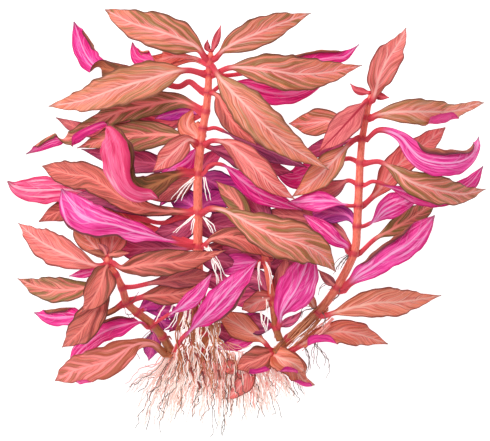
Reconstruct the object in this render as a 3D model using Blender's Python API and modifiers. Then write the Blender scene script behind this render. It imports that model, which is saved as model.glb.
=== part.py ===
"""An uprooted bunch of alternanthera, lying on its back on a flat surface.

Three leafy stems and a side shoot rise from one creeping, rooted stem. Leaves grow in opposite
pairs. +Y runs up the stems, +X to the right of someone who looks down on the bunch, and +Z is up
from the surface, which is z = 0. Places in the tables are millimetres from the middle of the bunch.
"""

import math
from dataclasses import dataclass

import bmesh
import bpy
import numpy as np

MM = 0.001

# Driving dimensions, in millimetres
CENTRE_X = 0.65  # the middle of the bunch's box, which becomes the origin
CENTRE_Y = -1.75
LEAF_THICK = 0.85  # a fleshy blade with its veins
STALK_HALF_WIDTH = 0.4  # plus a twentieth of the blade's width
TIP_HALF_WIDTH = 0.25
JOINT_SWELL = 1.14  # how much thicker a stem is at a leaf joint
GAP = 0.35  # between a leaf stalk and the stem that it grows from
STEM_STEP = 7.0  # spacing of the rings along a stem
ROOT_THICK = 5.0
ROOT_HEIGHT = 3.0

OUTLINE_POINT = 1.12  # above 1, the blade's outline runs hollow into its stalk and point
BLADE_ROWS = (0.13, 0.31, 0.51, 0.71, 0.88, 1.0)
LESSER_ROWS = (0.3, 0.64, 1.0)

OLIVE = (0.42, 0.22, 0.08)
ORANGE = (0.79, 0.30, 0.14)
CORAL = (0.85, 0.24, 0.17)
PINK = (0.95, 0.10, 0.38)
PURPLE = (0.26, 0.02, 0.20)
STEM_RED = (0.86, 0.25, 0.14)
ROOT_CREAM = (0.93, 0.74, 0.66)


@dataclass
class Stem:
    """A stem as rings from its growing tip down: x, y, z and radius, a leaf joint at each."""

    rings: list


@dataclass
class Leaf:
    """A leaf that grows from one joint of a stem; its path's last point is its tip."""

    name: str
    stem: str
    joint: int
    width: float
    stalk: float  # share of the length that is leaf stalk
    widest: float  # share of the blade at which it is widest
    path: list
    roll: tuple = (0, 0)  # degrees, at even steps to the tip; 180 shows the underside
    fold: float = 14.0  # degrees that each half lifts from the midrib
    colour: tuple = CORAL


STEMS = {
    "stem_middle": Stem([
        (-17.0, 84.5, 47.0, 1.1), (-17.3, 80.5, 47.0, 1.5), (-17.6, 77.0, 46.6, 1.6),
        (-18.0, 73.0, 46.0, 1.7), (-18.5, 64.0, 45.0, 1.8), (-19.5, 54.5, 44.0, 1.9),
        (-21.0, 46.0, 43.5, 1.9), (-22.0, 38.5, 43.0, 2.0), (-23.5, 23.5, 42.5, 2.1),
        (-23.5, 4.0, 41.0, 2.2), (-23.5, -12.5, 38.0, 2.2), (-23.0, -27.5, 32.0, 2.2),
        (-21.5, -42.0, 27.0, 2.2), (-20.5, -56.0, 22.0, 2.3), (-20.5, -64.0, 18.5, 2.3),
        (-20.5, -71.0, 16.0, 2.5),
    ]),
    "stem_right": Stem([
        (63.0, 63.5, 44.5, 1.0), (62.0, 59.5, 44.0, 1.4), (60.5, 51.5, 43.0, 1.5),
        (58.5, 40.8, 42.0, 1.7), (57.5, 28.8, 41.0, 1.8), (57.0, 17.8, 40.0, 1.9),
        (56.5, 7.3, 39.0, 2.0), (56.0, -2.8, 38.0, 2.0), (54.5, -16.3, 36.0, 2.0),
        (46.0, -33.3, 32.0, 2.1), (36.5, -45.8, 28.0, 2.1), (22.0, -59.3, 21.0, 2.2),
        (15.0, -67.0, 16.5, 2.4),
    ]),
    "stem_left": Stem([
        (-69.0, -17.5, 44.5, 1.0), (-68.0, -21.5, 44.0, 1.5), (-64.5, -27.0, 42.0, 1.6),
        (-61.5, -33.5, 39.0, 1.8), (-59.0, -41.0, 36.0, 1.9), (-54.0, -46.0, 33.0, 1.9),
        (-46.5, -52.0, 29.0, 2.0), (-41.5, -58.0, 24.5, 2.1), (-37.5, -65.0, 18.0, 2.3),
    ]),
    "stem_short": Stem([
        (7.0, -6.0, 37.0, 1.0), (7.5, -8.5, 37.0, 1.4), (10.5, -20.8, 34.0, 1.6),
        (13.5, -38.8, 31.0, 1.7), (15.5, -53.3, 26.5, 1.8), (17.5, -60.0, 24.6, 1.8),
    ]),
    "stem_creeping": Stem([
        (-39.0, -67.5, 12.0, 2.4), (-20.5, -74.5, 10.5, 2.6), (-3.0, -73.5, 10.5, 2.6),
        (15.5, -70.5, 11.0, 2.4),
    ]),
}

LEAVES = [
    # Middle stem, from its tip down
    Leaf("leaf_top_left", "stem_middle", 1, 17.5, 0.08, 0.42,
         [(-23.5, 86.5, 50), (-31, 91, 52), (-42, 95, 52), (-56, 99, 44), (-70, 105.5, 31)],
         (0, -6, 8), 14, ORANGE),
    Leaf("leaf_top_right", "stem_middle", 1, 15.0, 0.08, 0.38,
         [(-11, 84.7, 50), (-4, 89, 52), (5, 92.8, 51), (17, 98, 45), (33, 103.8, 33)],
         (0, 5, 0), 14, ORANGE),
    Leaf("leaf_front_large", "stem_middle", 2, 18.5, 0.08, 0.42,
         [(-11, 69, 57), (-1, 58.5, 65), (9.5, 47.5, 67), (23, 36.5, 63), (41.8, 25.3, 56)],
         (0, 0), 15, ORANGE),
    Leaf("leaf_shoulder_left", "stem_middle", 3, 18.8, 0.17, 0.38,
         [(-22.5, 75.5, 48), (-28, 76.6, 50), (-36, 74.5, 53), (-50, 69.8, 55), (-64, 65.8, 50),
          (-81, 60, 38), (-98.5, 57.3, 22)], (0, -8, 0), 13, ORANGE),
    Leaf("leaf_shoulder_right", "stem_middle", 3, 18.0, 0.12, 0.40,
         [(-8, 76, 50), (2, 76, 53), (12, 75, 54), (25, 73, 50), (40, 73.8, 43),
          (58.5, 77.7, 29)], (0, 8, 0), 13, OLIVE),
    Leaf("leaf_under_right", "stem_middle", 4, 12.0, 0.20, 0.42,
         [(-10, 68.5, 38), (0, 67.8, 34), (10, 64.5, 31), (20, 63.5, 30), (31, 65.5, 28),
          (42, 71, 22)], (100, 170, 180, 180), 12, PINK),
    Leaf("leaf_wavy_right", "stem_middle", 3, 9.0, 0.20, 0.55,
         [(-8, 72.5, 40), (8, 75, 37), (22, 78, 36), (34, 80.5, 33), (44, 82, 30), (50, 82.5, 27),
          (57.2, 88.3, 22)], (90, 160, 180, 180), 12, PINK),
    Leaf("leaf_fourth_left", "stem_middle", 4, 12.5, 0.30, 0.60,
         [(-24, 68.3, 44), (-29, 69.5, 43), (-35, 69.5, 41), (-48, 71.5, 38), (-60, 74, 33),
          (-71, 76.5, 26), (-78.5, 82, 17), (-83, 90, 9), (-86.3, 100.3, 0.42)],
         (0, 0, 0, 0, 0, 40, 150, 180, 180), 12, PINK),
    Leaf("leaf_fifth_left", "stem_middle", 5, 13.0, 0.14, 0.42,
         [(-25, 59, 43), (-32, 61, 41), (-41, 58.5, 38), (-52, 54.5, 34), (-65, 52.5, 29),
          (-78, 48, 22), (-88, 43, 14), (-99, 39.5, 6), (-110.5, 33.5, 0.48)],
         (0, 0, 0, -10, -50, -150, -180), 13, OLIVE),
    Leaf("leaf_sixth_left", "stem_middle", 7, 15.5, 0.12, 0.40,
         [(-31, 42, 38), (-41, 43, 34), (-55, 42.5, 28), (-69, 41, 20), (-84.5, 36.5, 9)],
         (0, 0), 12, OLIVE),
    Leaf("leaf_hanging", "stem_middle", 7, 12.0, 0.10, 0.45,
         [(-28.5, 40, 50), (-36, 33.5, 53), (-46, 24.5, 47)], (0, 0), 12, CORAL),
    Leaf("leaf_sixth_right", "stem_middle", 7, 13.5, 0.14, 0.45,
         [(-16, 39.8, 48), (-9, 38.5, 52), (-2, 33.5, 55), (6, 25.5, 58), (14, 17.5, 57),
          (25, 10.5, 51)], (0, 0), 13, CORAL),
    Leaf("leaf_dark_right", "stem_middle", 6, 11.0, 0.14, 0.50,
         [(-14, 46, 42), (-3, 41, 41), (14, 34, 40), (31, 26.5, 35)], (60, 170, 180), 10, PURPLE),
    Leaf("leaf_seventh_left", "stem_middle", 8, 16.0, 0.14, 0.60,
         [(-32, 22.8, 46), (-40, 21, 50), (-48, 17.5, 54), (-55, 16.8, 58), (-60.5, 20.5, 60),
          (-64, 27.5, 59), (-65.2, 36, 55), (-68.5, 48.8, 44)],
         (0, 0, 0, 0, -90, -170, -180, -180, -180), 14, PINK),
    Leaf("leaf_seventh_right", "stem_middle", 8, 11.0, 0.20, 0.45,
         [(-17, 27.8, 45), (-10, 27.3, 45), (-2, 20.5, 43.5), (9, 13, 40.5), (29, 5, 33.5)],
         (40, 150, 180, 180), 12, PINK),
    Leaf("leaf_eighth_left", "stem_middle", 9, 14.0, 0.25, 0.50,
         [(-34, 4.8, 42), (-45, 6.2, 41), (-55, 8.5, 40), (-63, 12.8, 38), (-71, 18.3, 35),
          (-79, 22.3, 30), (-88, 24.2, 22), (-102, 27.6, 8)], (0, 0), 12, ORANGE),
    Leaf("leaf_eighth_right", "stem_middle", 9, 20.5, 0.12, 0.55,
         [(-16.5, 6, 50), (-8, 4, 56), (4, -2.5, 63), (16, -7.8, 66), (28, -11.5, 64),
          (38, -17, 57), (45.3, -25.6, 49)], (0, 0), 14, OLIVE),
    Leaf("leaf_pink_far_left", "stem_middle", 9, 13.5, 0.42, 0.48,
         [(-40, -1, 30), (-50, 0.5, 28), (-62, 6, 26), (-76, 12.5, 22), (-88, 15, 16),
          (-100, 14.8, 10), (-111, 14.5, 4), (-119.8, 20.3, 0.48)],
         (0, 170, 180, 180), 10, PINK),
    Leaf("leaf_brown_low_left", "stem_middle", 10, 12.0, 0.35, 0.48,
         [(-42, -6, 26), (-60, 0.5, 18), (-76, 5, 11), (-87, 4, 5), (-96, 2, 2),
          (-104, -1, 0.45)], (0, 0), 6, ORANGE),
    Leaf("leaf_pink_broad", "stem_middle", 10, 15.8, 0.20, 0.50,
         [(-35, -11.2, 43), (-45, -9, 47), (-55, -6, 50), (-65, -2.2, 52), (-74, -0.5, 52),
          (-82, 3, 47), (-88, 9.5, 41), (-91.7, 15.8, 35)], (60, 165, 180, 180), 12, PINK),
    Leaf("leaf_ninth_right", "stem_middle", 10, 11.5, 0.12, 0.42,
         [(-16, -9, 43), (-6, -8.3, 45), (8, -13, 45), (22, -20.5, 41)], (0, 0), 12, CORAL),
    # Right stem
    Leaf("leaf_crest", "stem_right", 1, 15.0, 0.06, 0.40,
         [(65, 64, 48), (66.3, 70, 52), (70, 79, 53), (75, 87, 46), (80.5, 96, 33)],
         (0, 0), 14, CORAL),
    Leaf("leaf_coral_front", "stem_right", 1, 13.5, 0.05, 0.45,
         [(57, 55.5, 49.5), (51.5, 49.5, 54), (45, 42.5, 55), (36.8, 34.3, 50)],
         (0, 0), 10, CORAL),
    Leaf("leaf_olive_left", "stem_right", 2, 13.5, 0.10, 0.55,
         [(50, 49.5, 40), (40, 49.5, 38), (31, 48.5, 36), (22, 48.5, 32)], (0, 0), 12, OLIVE),
    Leaf("leaf_brown_right", "stem_right", 2, 13.2, 0.05, 0.34,
         [(66, 52.5, 45), (74, 54, 45), (84, 54.3, 42), (95, 54.3, 32), (106, 55.5, 17),
          (113, 58, 8), (120.5, 59.6, 0.35)], (0, 0), 12, OLIVE),
    Leaf("leaf_twisted_right", "stem_right", 3, 14.5, 0.22, 0.42,
         [(66, 44.8, 47), (73, 44.3, 50), (80, 38.5, 52), (86, 33, 53), (93, 29.2, 53),
          (101, 28.8, 50), (108, 30, 43), (113, 33.5, 35), (116.8, 41.5, 22)],
         (0, -90, -175, -180, -180, -180), 12, PINK),
    Leaf("leaf_orange_left", "stem_right", 3, 13.5, 0.14, 0.45,
         [(52, 38, 44), (47, 33, 45), (40, 25.5, 45), (32, 18, 44), (23.3, 11.7, 42)],
         (0, 0), 12, ORANGE),
    Leaf("leaf_olive_right", "stem_right", 4, 14.3, 0.14, 0.42,
         [(67, 29.3, 45), (74, 25.5, 47), (82, 19.8, 47), (91, 16.5, 44), (101, 14.3, 36),
          (110, 13.3, 26), (121, 15.8, 12)], (0, 0), 13, OLIVE),
    Leaf("leaf_magenta_right", "stem_right", 5, 11.5, 0.14, 0.36,
         [(64.5, 19.5, 40), (74, 16.5, 39), (88, 13.5, 35), (104, 15.5, 26), (119.8, 27.3, 10)],
         (60, 175, 180), 12, PINK),
    Leaf("leaf_coral_behind", "stem_right", 6, 12.0, 0.12, 0.42,
         [(63, 11, 34), (69, 17.5, 31), (75, 26, 27), (82, 33.5, 22), (91, 39.5, 16),
          (100.8, 46.8, 9)], (0, 0), 12, CORAL),
    Leaf("leaf_pink_inner", "stem_right", 6, 10.5, 0.10, 0.50,
         [(51, 7.5, 41), (44, 9.5, 44), (36, 9.8, 44), (28, 9.2, 41), (21.5, 9.5, 38.5)],
         (90, 170, 180), 12, PINK),
    Leaf("leaf_pink_middle", "stem_right", 7, 12.5, 0.10, 0.40,
         [(64.5, 0, 38), (70, 5.3, 37), (78, 9, 33), (90, 12.7, 24)], (90, 175, 180), 10, PINK),
    Leaf("leaf_brown_middle", "stem_right", 8, 11.5, 0.20, 0.50,
         [(65, -9.3, 33), (74.5, -4, 27), (85, 2, 18), (97.5, 11, 7)], (0, 0), 10, OLIVE),
    Leaf("leaf_magenta_inner", "stem_right", 8, 9.5, 0.20, 0.45,
         [(50.5, -9, 40), (44, -5.5, 42), (36.3, -0.5, 38)], (90, 175, 180), 10, PINK),
    Leaf("leaf_pink_low_right", "stem_right", 9, 14.7, 0.16, 0.50,
         [(52, -33, 34), (59, -29, 38), (66, -25, 39), (73, -20.3, 38), (81, -15.5, 33),
          (88.5, -8, 25), (95.3, 2.5, 15)], (60, 170, 180, 180), 10, PINK),
    Leaf("leaf_coral_low_right", "stem_right", 10, 15.0, 0.18, 0.42,
         [(45.5, -46, 31), (55, -43.3, 31), (66, -41.2, 27), (76, -41, 20), (87, -39.8, 9),
          (99, -37.8, 0.4)], (0, 0), 12, CORAL),
    Leaf("leaf_low_twist_right", "stem_right", 12, 11.5, 0.33, 0.45,
         [(22, -66.7, 20), (30, -64.5, 21), (38, -60.3, 22), (46, -56.8, 20), (55, -56.3, 14),
          (64, -58.8, 6), (72, -62.3, 0.42)], (0, 0), 10, CORAL),
    Leaf("leaf_low_middle", "stem_right", 12, 13.5, 0.16, 0.50,
         [(9, -60.5, 20), (-2.5, -53, 23), (-14.5, -45.8, 22)], (0, 0), 10, CORAL),
    Leaf("leaf_curled_left", "stem_right", 12, 10.5, 0.12, 0.50,
         [(8.5, -70, 20), (2.5, -73, 22), (-3.5, -76.3, 20)], (0, 0), 12, OLIVE),
    # Left stem
    Leaf("leaf_crown_left", "stem_left", 1, 16.0, 0.06, 0.42,
         [(-76, -22.2, 46), (-85, -18.8, 46), (-95, -14.5, 39), (-104.5, -9, 27),
          (-114, -1.3, 12)], (0, 0), 13, CORAL),
    Leaf("leaf_crown_right", "stem_left", 1, 13.3, 0.06, 0.40,
         [(-61, -23.7, 47), (-52, -22.2, 51), (-38, -20.8, 52), (-24, -19, 50),
          (-9.5, -14.8, 47)], (0, 0), 12, ORANGE),
    Leaf("leaf_crown_front", "stem_left", 1, 12.5, 0.05, 0.45,
         [(-70.5, -25, 52), (-72.5, -31, 56), (-76, -38, 56), (-81, -45.5, 50)],
         (0, 0), 12, ORANGE),
    Leaf("leaf_front_low", "stem_left", 2, 14.5, 0.06, 0.50,
         [(-68, -32, 46), (-71, -39, 47), (-76, -47, 46), (-82.5, -55.5, 40),
          (-91.7, -63.6, 27)], (0, 0), 13, ORANGE),
    Leaf("leaf_olive_low_left", "stem_left", 2, 13.0, 0.12, 0.48,
         [(-73, -31, 36), (-82, -34, 32), (-93, -34.8, 23), (-104, -33.5, 12),
          (-114.7, -29.3, 0.35)], (0, 0), 12, OLIVE),
    Leaf("leaf_brown_inner", "stem_left", 4, 10.5, 0.16, 0.45,
         [(-54, -39, 37), (-47.5, -37.3, 37), (-37, -36.8, 36), (-24, -34.3, 38)],
         (0, 0), 10, ORANGE),
    Leaf("leaf_thin_pink", "stem_left", 4, 9.0, 0.18, 0.50,
         [(-68, -46, 31), (-78, -48, 27), (-89, -48.3, 18), (-98, -48.8, 9),
          (-106.3, -46.5, 0.4)], (60, 165, 170), 10, PINK),
    Leaf("leaf_hotpink_low", "stem_left", 6, 12.5, 0.08, 0.40,
         [(-51.5, -52, 32), (-60, -52.3, 34), (-70, -56.5, 29), (-80, -63, 17),
          (-88.4, -71.5, 5)], (60, 175, 180, 180), 10, PINK),
    Leaf("leaf_coral_low_left", "stem_left", 8, 16.0, 0.20, 0.42,
         [(-46, -62, 27), (-53, -62.3, 31), (-60, -66, 34), (-68, -70.5, 34), (-77, -72.8, 29),
          (-86, -75.5, 18), (-95.7, -80.7, 4)], (0, 0), 12, CORAL),
    Leaf("leaf_pink_rising", "stem_left", 6, 8.0, 0.25, 0.50,
         [(-39, -47.5, 36), (-32, -43.5, 42), (-25, -38, 44), (-20.5, -32.5, 44),
          (-16.5, -26.3, 42)], (60, 170, 180), 10, PINK),
    Leaf("leaf_pink_large", "stem_left", 8, 14.5, 0.22, 0.50,
         [(-31, -58.5, 30), (-23, -51, 38), (-15, -43.5, 45), (-6, -33.5, 50),
          (6.3, -19.8, 50)], (60, 170, 180), 10, PINK),
    # Side shoot and creeping stem
    Leaf("leaf_brown_rising", "stem_short", 1, 10.5, 0.25, 0.45,
         [(2.5, -4, 38.5), (-0.5, 4, 39), (-6.5, 11.5, 38), (-14.5, 19.8, 35)],
         (0, 0), 10, OLIVE),
    Leaf("leaf_magenta_large", "stem_short", 4, 19.0, 0.10, 0.50,
         [(18, -46.5, 36), (21, -41, 41), (25, -35, 44), (28.5, -28, 44), (31, -21, 42),
          (33, -13, 38)], (120, 175, 180, 180), 8, PINK),
    Leaf("leaf_lowest", "stem_creeping", 2, 11.5, 0.12, 0.50,
         [(-3, -78, 15), (-4, -84, 13), (-8.8, -90.4, 8)], (0, 0), 10, CORAL),
    Leaf("leaf_curled_right", "stem_creeping", 3, 10.5, 0.12, 0.42,
         [(19, -71.5, 15), (23, -72.5, 17), (26, -76, 15), (29, -80.3, 11), (34.5, -82.2, 6)],
         (0, 0, 30), 14, ORANGE),
]

# Young and lesser leaves, each grown in one piece with its stem
LESSER_LEAVES = [
    Leaf("bud_top_tall", "stem_middle", 0, 4.0, 0.1, 0.4,
         [(-15.8, 86, 49), (-14, 91, 50), (-12, 97.3, 48)]),
    Leaf("bud_top_short", "stem_middle", 0, 3.2, 0.1, 0.4,
         [(-18.8, 86.3, 49.5), (-18.7, 90, 52)]),
    Leaf("lesser_top_back", "stem_middle", 2, 10.0, 0.2, 0.5,
         [(-25, 80.8, 40), (-35, 81.5, 36), (-45, 81.5, 33), (-52, 82.5, 30),
          (-57.3, 88.6, 27)], (0, 0)),
    Leaf("lesser_brown_front", "stem_middle", 4, 11.0, 0.1, 0.45,
         [(-13.5, 62, 50), (-10, 55, 55), (-4, 46.5, 58), (6, 37.5, 58)], (0, 0), 8),
    Leaf("lesser_back_left", "stem_middle", 5, 11.0, 0.2, 0.5,
         [(-30, 52, 30), (-52, 50, 18), (-75, 50.5, 7), (-95, 51.7, 0.45)], (0, 0), 6),
    Leaf("lesser_coral_left", "stem_middle", 6, 9.0, 0.15, 0.45,
         [(-28, 50, 46), (-33, 52.5, 46), (-45.5, 51.5, 42)]),
    Leaf("lesser_behind_low", "stem_middle", 7, 10.0, 0.1, 0.45,
         [(-28, 30, 34), (-37, 24.5, 27), (-45, 20, 20)], (180, 180)),
    Leaf("lesser_behind_high", "stem_middle", 8, 8.0, 0.1, 0.45,
         [(-18, 30, 34), (-10, 35.5, 31)]),
    Leaf("lesser_deep_right", "stem_middle", 8, 14.0, 0.1, 0.36,
         [(-16, 19, 29), (-8, 16, 24), (4, 13, 18)], (0, 0), 8),
    Leaf("lesser_deep_left_high", "stem_middle", 8, 11.0, 0.1, 0.45,
         [(-31, 19, 30), (-38, 13, 25), (-43, 7, 20)], (0, 0), 8),
    Leaf("lesser_maroon_left", "stem_middle", 8, 11.0, 0.2, 0.5,
         [(-42, 28, 20), (-62, 31, 10), (-82.5, 36, 1.2)], (0, 0), 8),
    Leaf("lesser_magenta_behind", "stem_middle", 11, 8.0, 0.15, 0.5,
         [(-33, -20, 33), (-45, -14.5, 31), (-59, -13, 27)], (180, 180), 8),
    Leaf("lesser_dark_under", "stem_middle", 10, 12.0, 0.1, 0.45,
         [(-12, -15, 23), (4, -19.5, 18), (22, -23, 14)], (0, 0), 8),
    Leaf("lesser_low_magenta", "stem_middle", 14, 7.5, 0.2, 0.5,
         [(-14, -64, 17), (-5, -61, 17.5), (4.5, -59.5, 16)], (180, 180), 8),
    Leaf("bud_right_left", "stem_right", 0, 4.0, 0.1, 0.4, [(56, 65, 46.5), (52.5, 68.2, 46)]),
    Leaf("bud_right_right", "stem_right", 0, 4.0, 0.1, 0.4, [(67.5, 62, 44.5), (72, 61.2, 45)]),
    Leaf("lesser_hidden_left", "stem_right", 4, 12.0, 0.2, 0.6,
         [(51.5, 31, 36), (43, 28, 31), (33, 24, 27), (24, 21, 24), (15, 24, 22)],
         (180, 180), 8),
    Leaf("lesser_maroon_inner", "stem_right", 5, 9.5, 0.2, 0.45,
         [(51.5, 20, 38), (45, 16.5, 36), (36, 13.5, 33), (28, 11, 30)]),
    Leaf("lesser_purple_inner", "stem_right", 7, 8.0, 0.15, 0.5,
         [(50, 0.5, 36), (44, 4, 35), (36, 4.5, 32), (28, 3.5, 27)]),
    Leaf("lesser_stub_maroon", "stem_right", 9, 5.0, 0.1, 0.4,
         [(41.5, -29.5, 36), (36.5, -24.5, 36)]),
    Leaf("lesser_stub_coral", "stem_right", 10, 4.5, 0.1, 0.4,
         [(32.5, -39, 32), (29, -33.5, 33)]),
    Leaf("lesser_crown_up", "stem_left", 1, 14.0, 0.1, 0.5,
         [(-67, -15, 41), (-66, -9, 39), (-65, -1, 35)]),
    Leaf("lesser_crown_behind", "stem_left", 1, 12.0, 0.1, 0.5,
         [(-75, -13, 38), (-80.5, -7, 34), (-85, 0.5, 28)]),
    Leaf("bud_left_pink", "stem_left", 0, 4.0, 0.1, 0.4, [(-73, -16.5, 47), (-78, -15, 47)]),
    Leaf("bud_left_magenta", "stem_left", 0, 4.0, 0.1, 0.4,
         [(-70.5, -14, 46), (-73.5, -11.3, 46)]),
    Leaf("bud_left_right", "stem_left", 0, 4.0, 0.1, 0.4, [(-63, -16.5, 47), (-57.5, -16.2, 46)]),
    Leaf("lesser_pink_sliver", "stem_left", 1, 5.0, 0.1, 0.5,
         [(-74, -24.5, 41), (-81, -26.5, 37.5), (-88, -27.8, 33.5)], (180, 180), 6),
    Leaf("lesser_band", "stem_left", 3, 8.5, 0.15, 0.5,
         [(-54, -31, 41), (-45, -29.3, 42), (-36, -28.3, 40), (-28, -27.5, 38)],
         (180, 180)),
    Leaf("lesser_lilac", "stem_left", 5, 8.0, 0.15, 0.5,
         [(-48, -44.5, 28), (-39, -45.3, 24), (-30, -46, 20)]),
    Leaf("lesser_purple_hanging", "stem_left", 6, 7.0, 0.15, 0.5,
         [(-46, -58, 20), (-47, -64, 12), (-49.5, -70.2, 4)]),
    Leaf("lesser_magenta_left", "stem_short", 2, 11.0, 0.15, 0.45,
         [(1.5, -21, 31), (-7.5, -22.3, 29), (-18, -25, 26)], (180, 180), 8),
    Leaf("lesser_coral_shoot", "stem_short", 3, 12.0, 0.1, 0.45,
         [(7, -40.5, 35), (1, -45, 35), (-4, -50, 32)], (0, 0), 8),
    Leaf("lesser_deep_left", "stem_short", 4, 9.0, 0.15, 0.45,
         [(8.5, -51, 19), (2, -50, 15), (-5, -47, 12)], (0, 0), 8),
    Leaf("lesser_stub_shoot", "stem_short", 4, 5.0, 0.1, 0.4,
         [(21.5, -51, 27), (25.5, -48.7, 27), (28.5, -45.3, 26)]),
]

# Roots: a ragged fan that spreads from the creeping stem to the root tips
ROOT_COLUMNS = 14
ROOT_ROWS = 3
ROOT_TOP = ((-38.5, -71.0), (15.0, -73.5))
ROOT_SIDES = ((-59.0, -84.5), (30.5, -90.0))
ROOT_REACH = 22.0  # how far the middle tips hang past the line between the outer ones
ROOT_NOTCH = 0.14  # how much shorter every second lock is


def clear_scene():
    """Start from an empty file's worth of objects."""
    for item in list(bpy.data.objects):
        bpy.data.objects.remove(item, do_unlink=True)


def collection(name):
    """A collection of this name, linked to the scene."""
    group = bpy.data.collections.get(name) or bpy.data.collections.new(name)
    if name not in bpy.context.scene.collection.children:
        bpy.context.scene.collection.children.link(group)
    return group


def principled(name, colour, roughness):
    """A plain Principled material."""
    material = bpy.data.materials.get(name) or bpy.data.materials.new(name)
    material.use_nodes = True
    shader = material.node_tree.nodes["Principled BSDF"]
    shader.inputs["Base Color"].default_value = (*colour, 1.0)
    shader.inputs["Roughness"].default_value = roughness
    shader.inputs["Metallic"].default_value = 0.0
    return material


def unit(vector):
    """The same direction with a length of one."""
    return vector / np.linalg.norm(vector)


def smooth_path(points, lead, shares):
    """Places on a smooth curve through the points, at these shares of its length.

    The curve is a Catmull-Rom spline; lead is the place before the first point.
    """
    run = [np.array(lead, float)] + [np.array(p, float) for p in points]
    run.append(2 * run[-1] - run[-2])
    fine = []
    for a, b, c, d in zip(run, run[1:], run[2:], run[3:]):
        for u in np.linspace(0, 1, 12, endpoint=False):
            fine.append(0.5 * (2 * b + (c - a) * u + (2 * a - 5 * b + 4 * c - d) * u**2
                               + (3 * b - a - 3 * c + d) * u**3))
    fine = np.array(fine + [run[-2]])
    steps = np.linalg.norm(np.diff(fine, axis=0), axis=1)
    along = np.concatenate([[0], np.cumsum(steps)]) / steps.sum()
    return np.array([[np.interp(s, along, fine[:, k]) for k in range(3)] for s in shares])


def joint_place(leaf):
    """The joint's centre, the stem's direction there and its radius."""
    rings = STEMS[leaf.stem].rings
    here = np.array(rings[leaf.joint][:3])
    above = np.array(rings[max(leaf.joint - 1, 0)][:3])
    below = np.array(rings[min(leaf.joint + 1, len(rings) - 1)][:3])
    return here, unit(above - below), rings[leaf.joint][3]


def leaf_grid(leaf, rows, fused):
    """Rows of three places across a leaf: one edge, the midrib and the other edge."""
    centre, stem_way, radius = joint_place(leaf)
    out = np.array(leaf.path[0], float) - centre
    out = unit(out - stem_way * out.dot(stem_way))
    start = centre + out * (0.2 if fused else radius * JOINT_SWELL + GAP)
    shares = [0.0] + ([leaf.stalk] if fused else [leaf.stalk * 0.5, leaf.stalk])
    shares += [leaf.stalk + (1 - leaf.stalk) * row for row in rows]
    spine = smooth_path([start] + leaf.path, start - 5 * out, shares)
    tangents = np.gradient(spine, axis=0)
    tangents[0] = out
    rolls = np.interp(shares, np.linspace(0, 1, len(leaf.roll)), leaf.roll)
    fold = math.radians(leaf.fold)
    skew = math.log(0.5) / math.log(leaf.widest)
    grid = []
    for share, place, tangent, turn in zip(shares, spine, tangents, np.radians(rolls)):
        side = unit(np.cross(tangent, (0, 0, 1)))
        up = np.cross(side, unit(tangent))
        across = math.cos(turn) * side + math.sin(turn) * up
        face = math.cos(turn) * up - math.sin(turn) * side
        blade = max(share - leaf.stalk, 0) / (1 - leaf.stalk)
        half = 0.5 * leaf.width * math.sin(math.pi * blade**skew) ** OUTLINE_POINT
        half = max(half, STALK_HALF_WIDTH + 0.05 * leaf.width if blade < 0.4 else TIP_HALF_WIDTH)
        lift = min(1.0, 2 * blade) * fold
        for s in (-1, 0, 1):
            grid.append(place + half * (s * math.cos(lift) * across + abs(s) * math.sin(lift) * face))
    return np.array(grid)


def to_metres(place):
    """From table millimetres to the finished part's frame."""
    return ((place[0] - CENTRE_X) * MM, (place[1] - CENTRE_Y) * MM, place[2] * MM)


def grid_object(name, places, columns, thick, group):
    """An open grid moved to these places, then given its thickness."""
    rows = len(places) // columns
    mesh = bpy.data.meshes.new(name)
    work = bmesh.new()
    bmesh.ops.create_grid(work, x_segments=columns - 1, y_segments=rows - 1, size=1.0)
    work.verts.ensure_lookup_table()
    for vertex, place in zip(work.verts, places):
        vertex.co = to_metres(place)
    work.to_mesh(mesh)
    work.free()
    item = bpy.data.objects.new(name, mesh)
    group.objects.link(item)
    shell = item.modifiers.new("thickness", "SOLIDIFY")
    shell.thickness = thick * MM
    shell.offset = 0.0
    mesh.shade_smooth()
    mesh.set_sharp_from_angle(angle=math.radians(40))
    return item


def make_leaf(leaf, group, fused=False):
    """One leaf with its stalk, folded a little along the midrib and turned along its path."""
    places = leaf_grid(leaf, LESSER_ROWS if fused else BLADE_ROWS, fused)
    item = grid_object(leaf.name, places, 3, LEAF_THICK, group)
    item.data.materials.append(principled(leaf.name, leaf.colour, 0.5))
    return item


def stem_rings(stem):
    """Rings for the whole stem: smooth between the joints and swollen at each of them."""
    rings = np.array(stem.rings)
    places = []
    for number, (top, low) in enumerate(zip(rings, rings[1:])):
        count = max(1, round(np.linalg.norm(low[:3] - top[:3]) / STEM_STEP))
        before = rings[max(number - 1, 0)]
        after = rings[min(number + 2, len(rings) - 1)]
        for u in np.arange(count) / count:
            ring = 0.5 * (2 * top + (low - before) * u
                          + (2 * before - 5 * top + 4 * low - after) * u**2
                          + (3 * top - before - 3 * low + after) * u**3)
            ring[3] = (top[3] + (low[3] - top[3]) * u) * (JOINT_SWELL if u == 0 else 1.0)
            places.append(ring)
    places.append(rings[-1])
    return places


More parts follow.
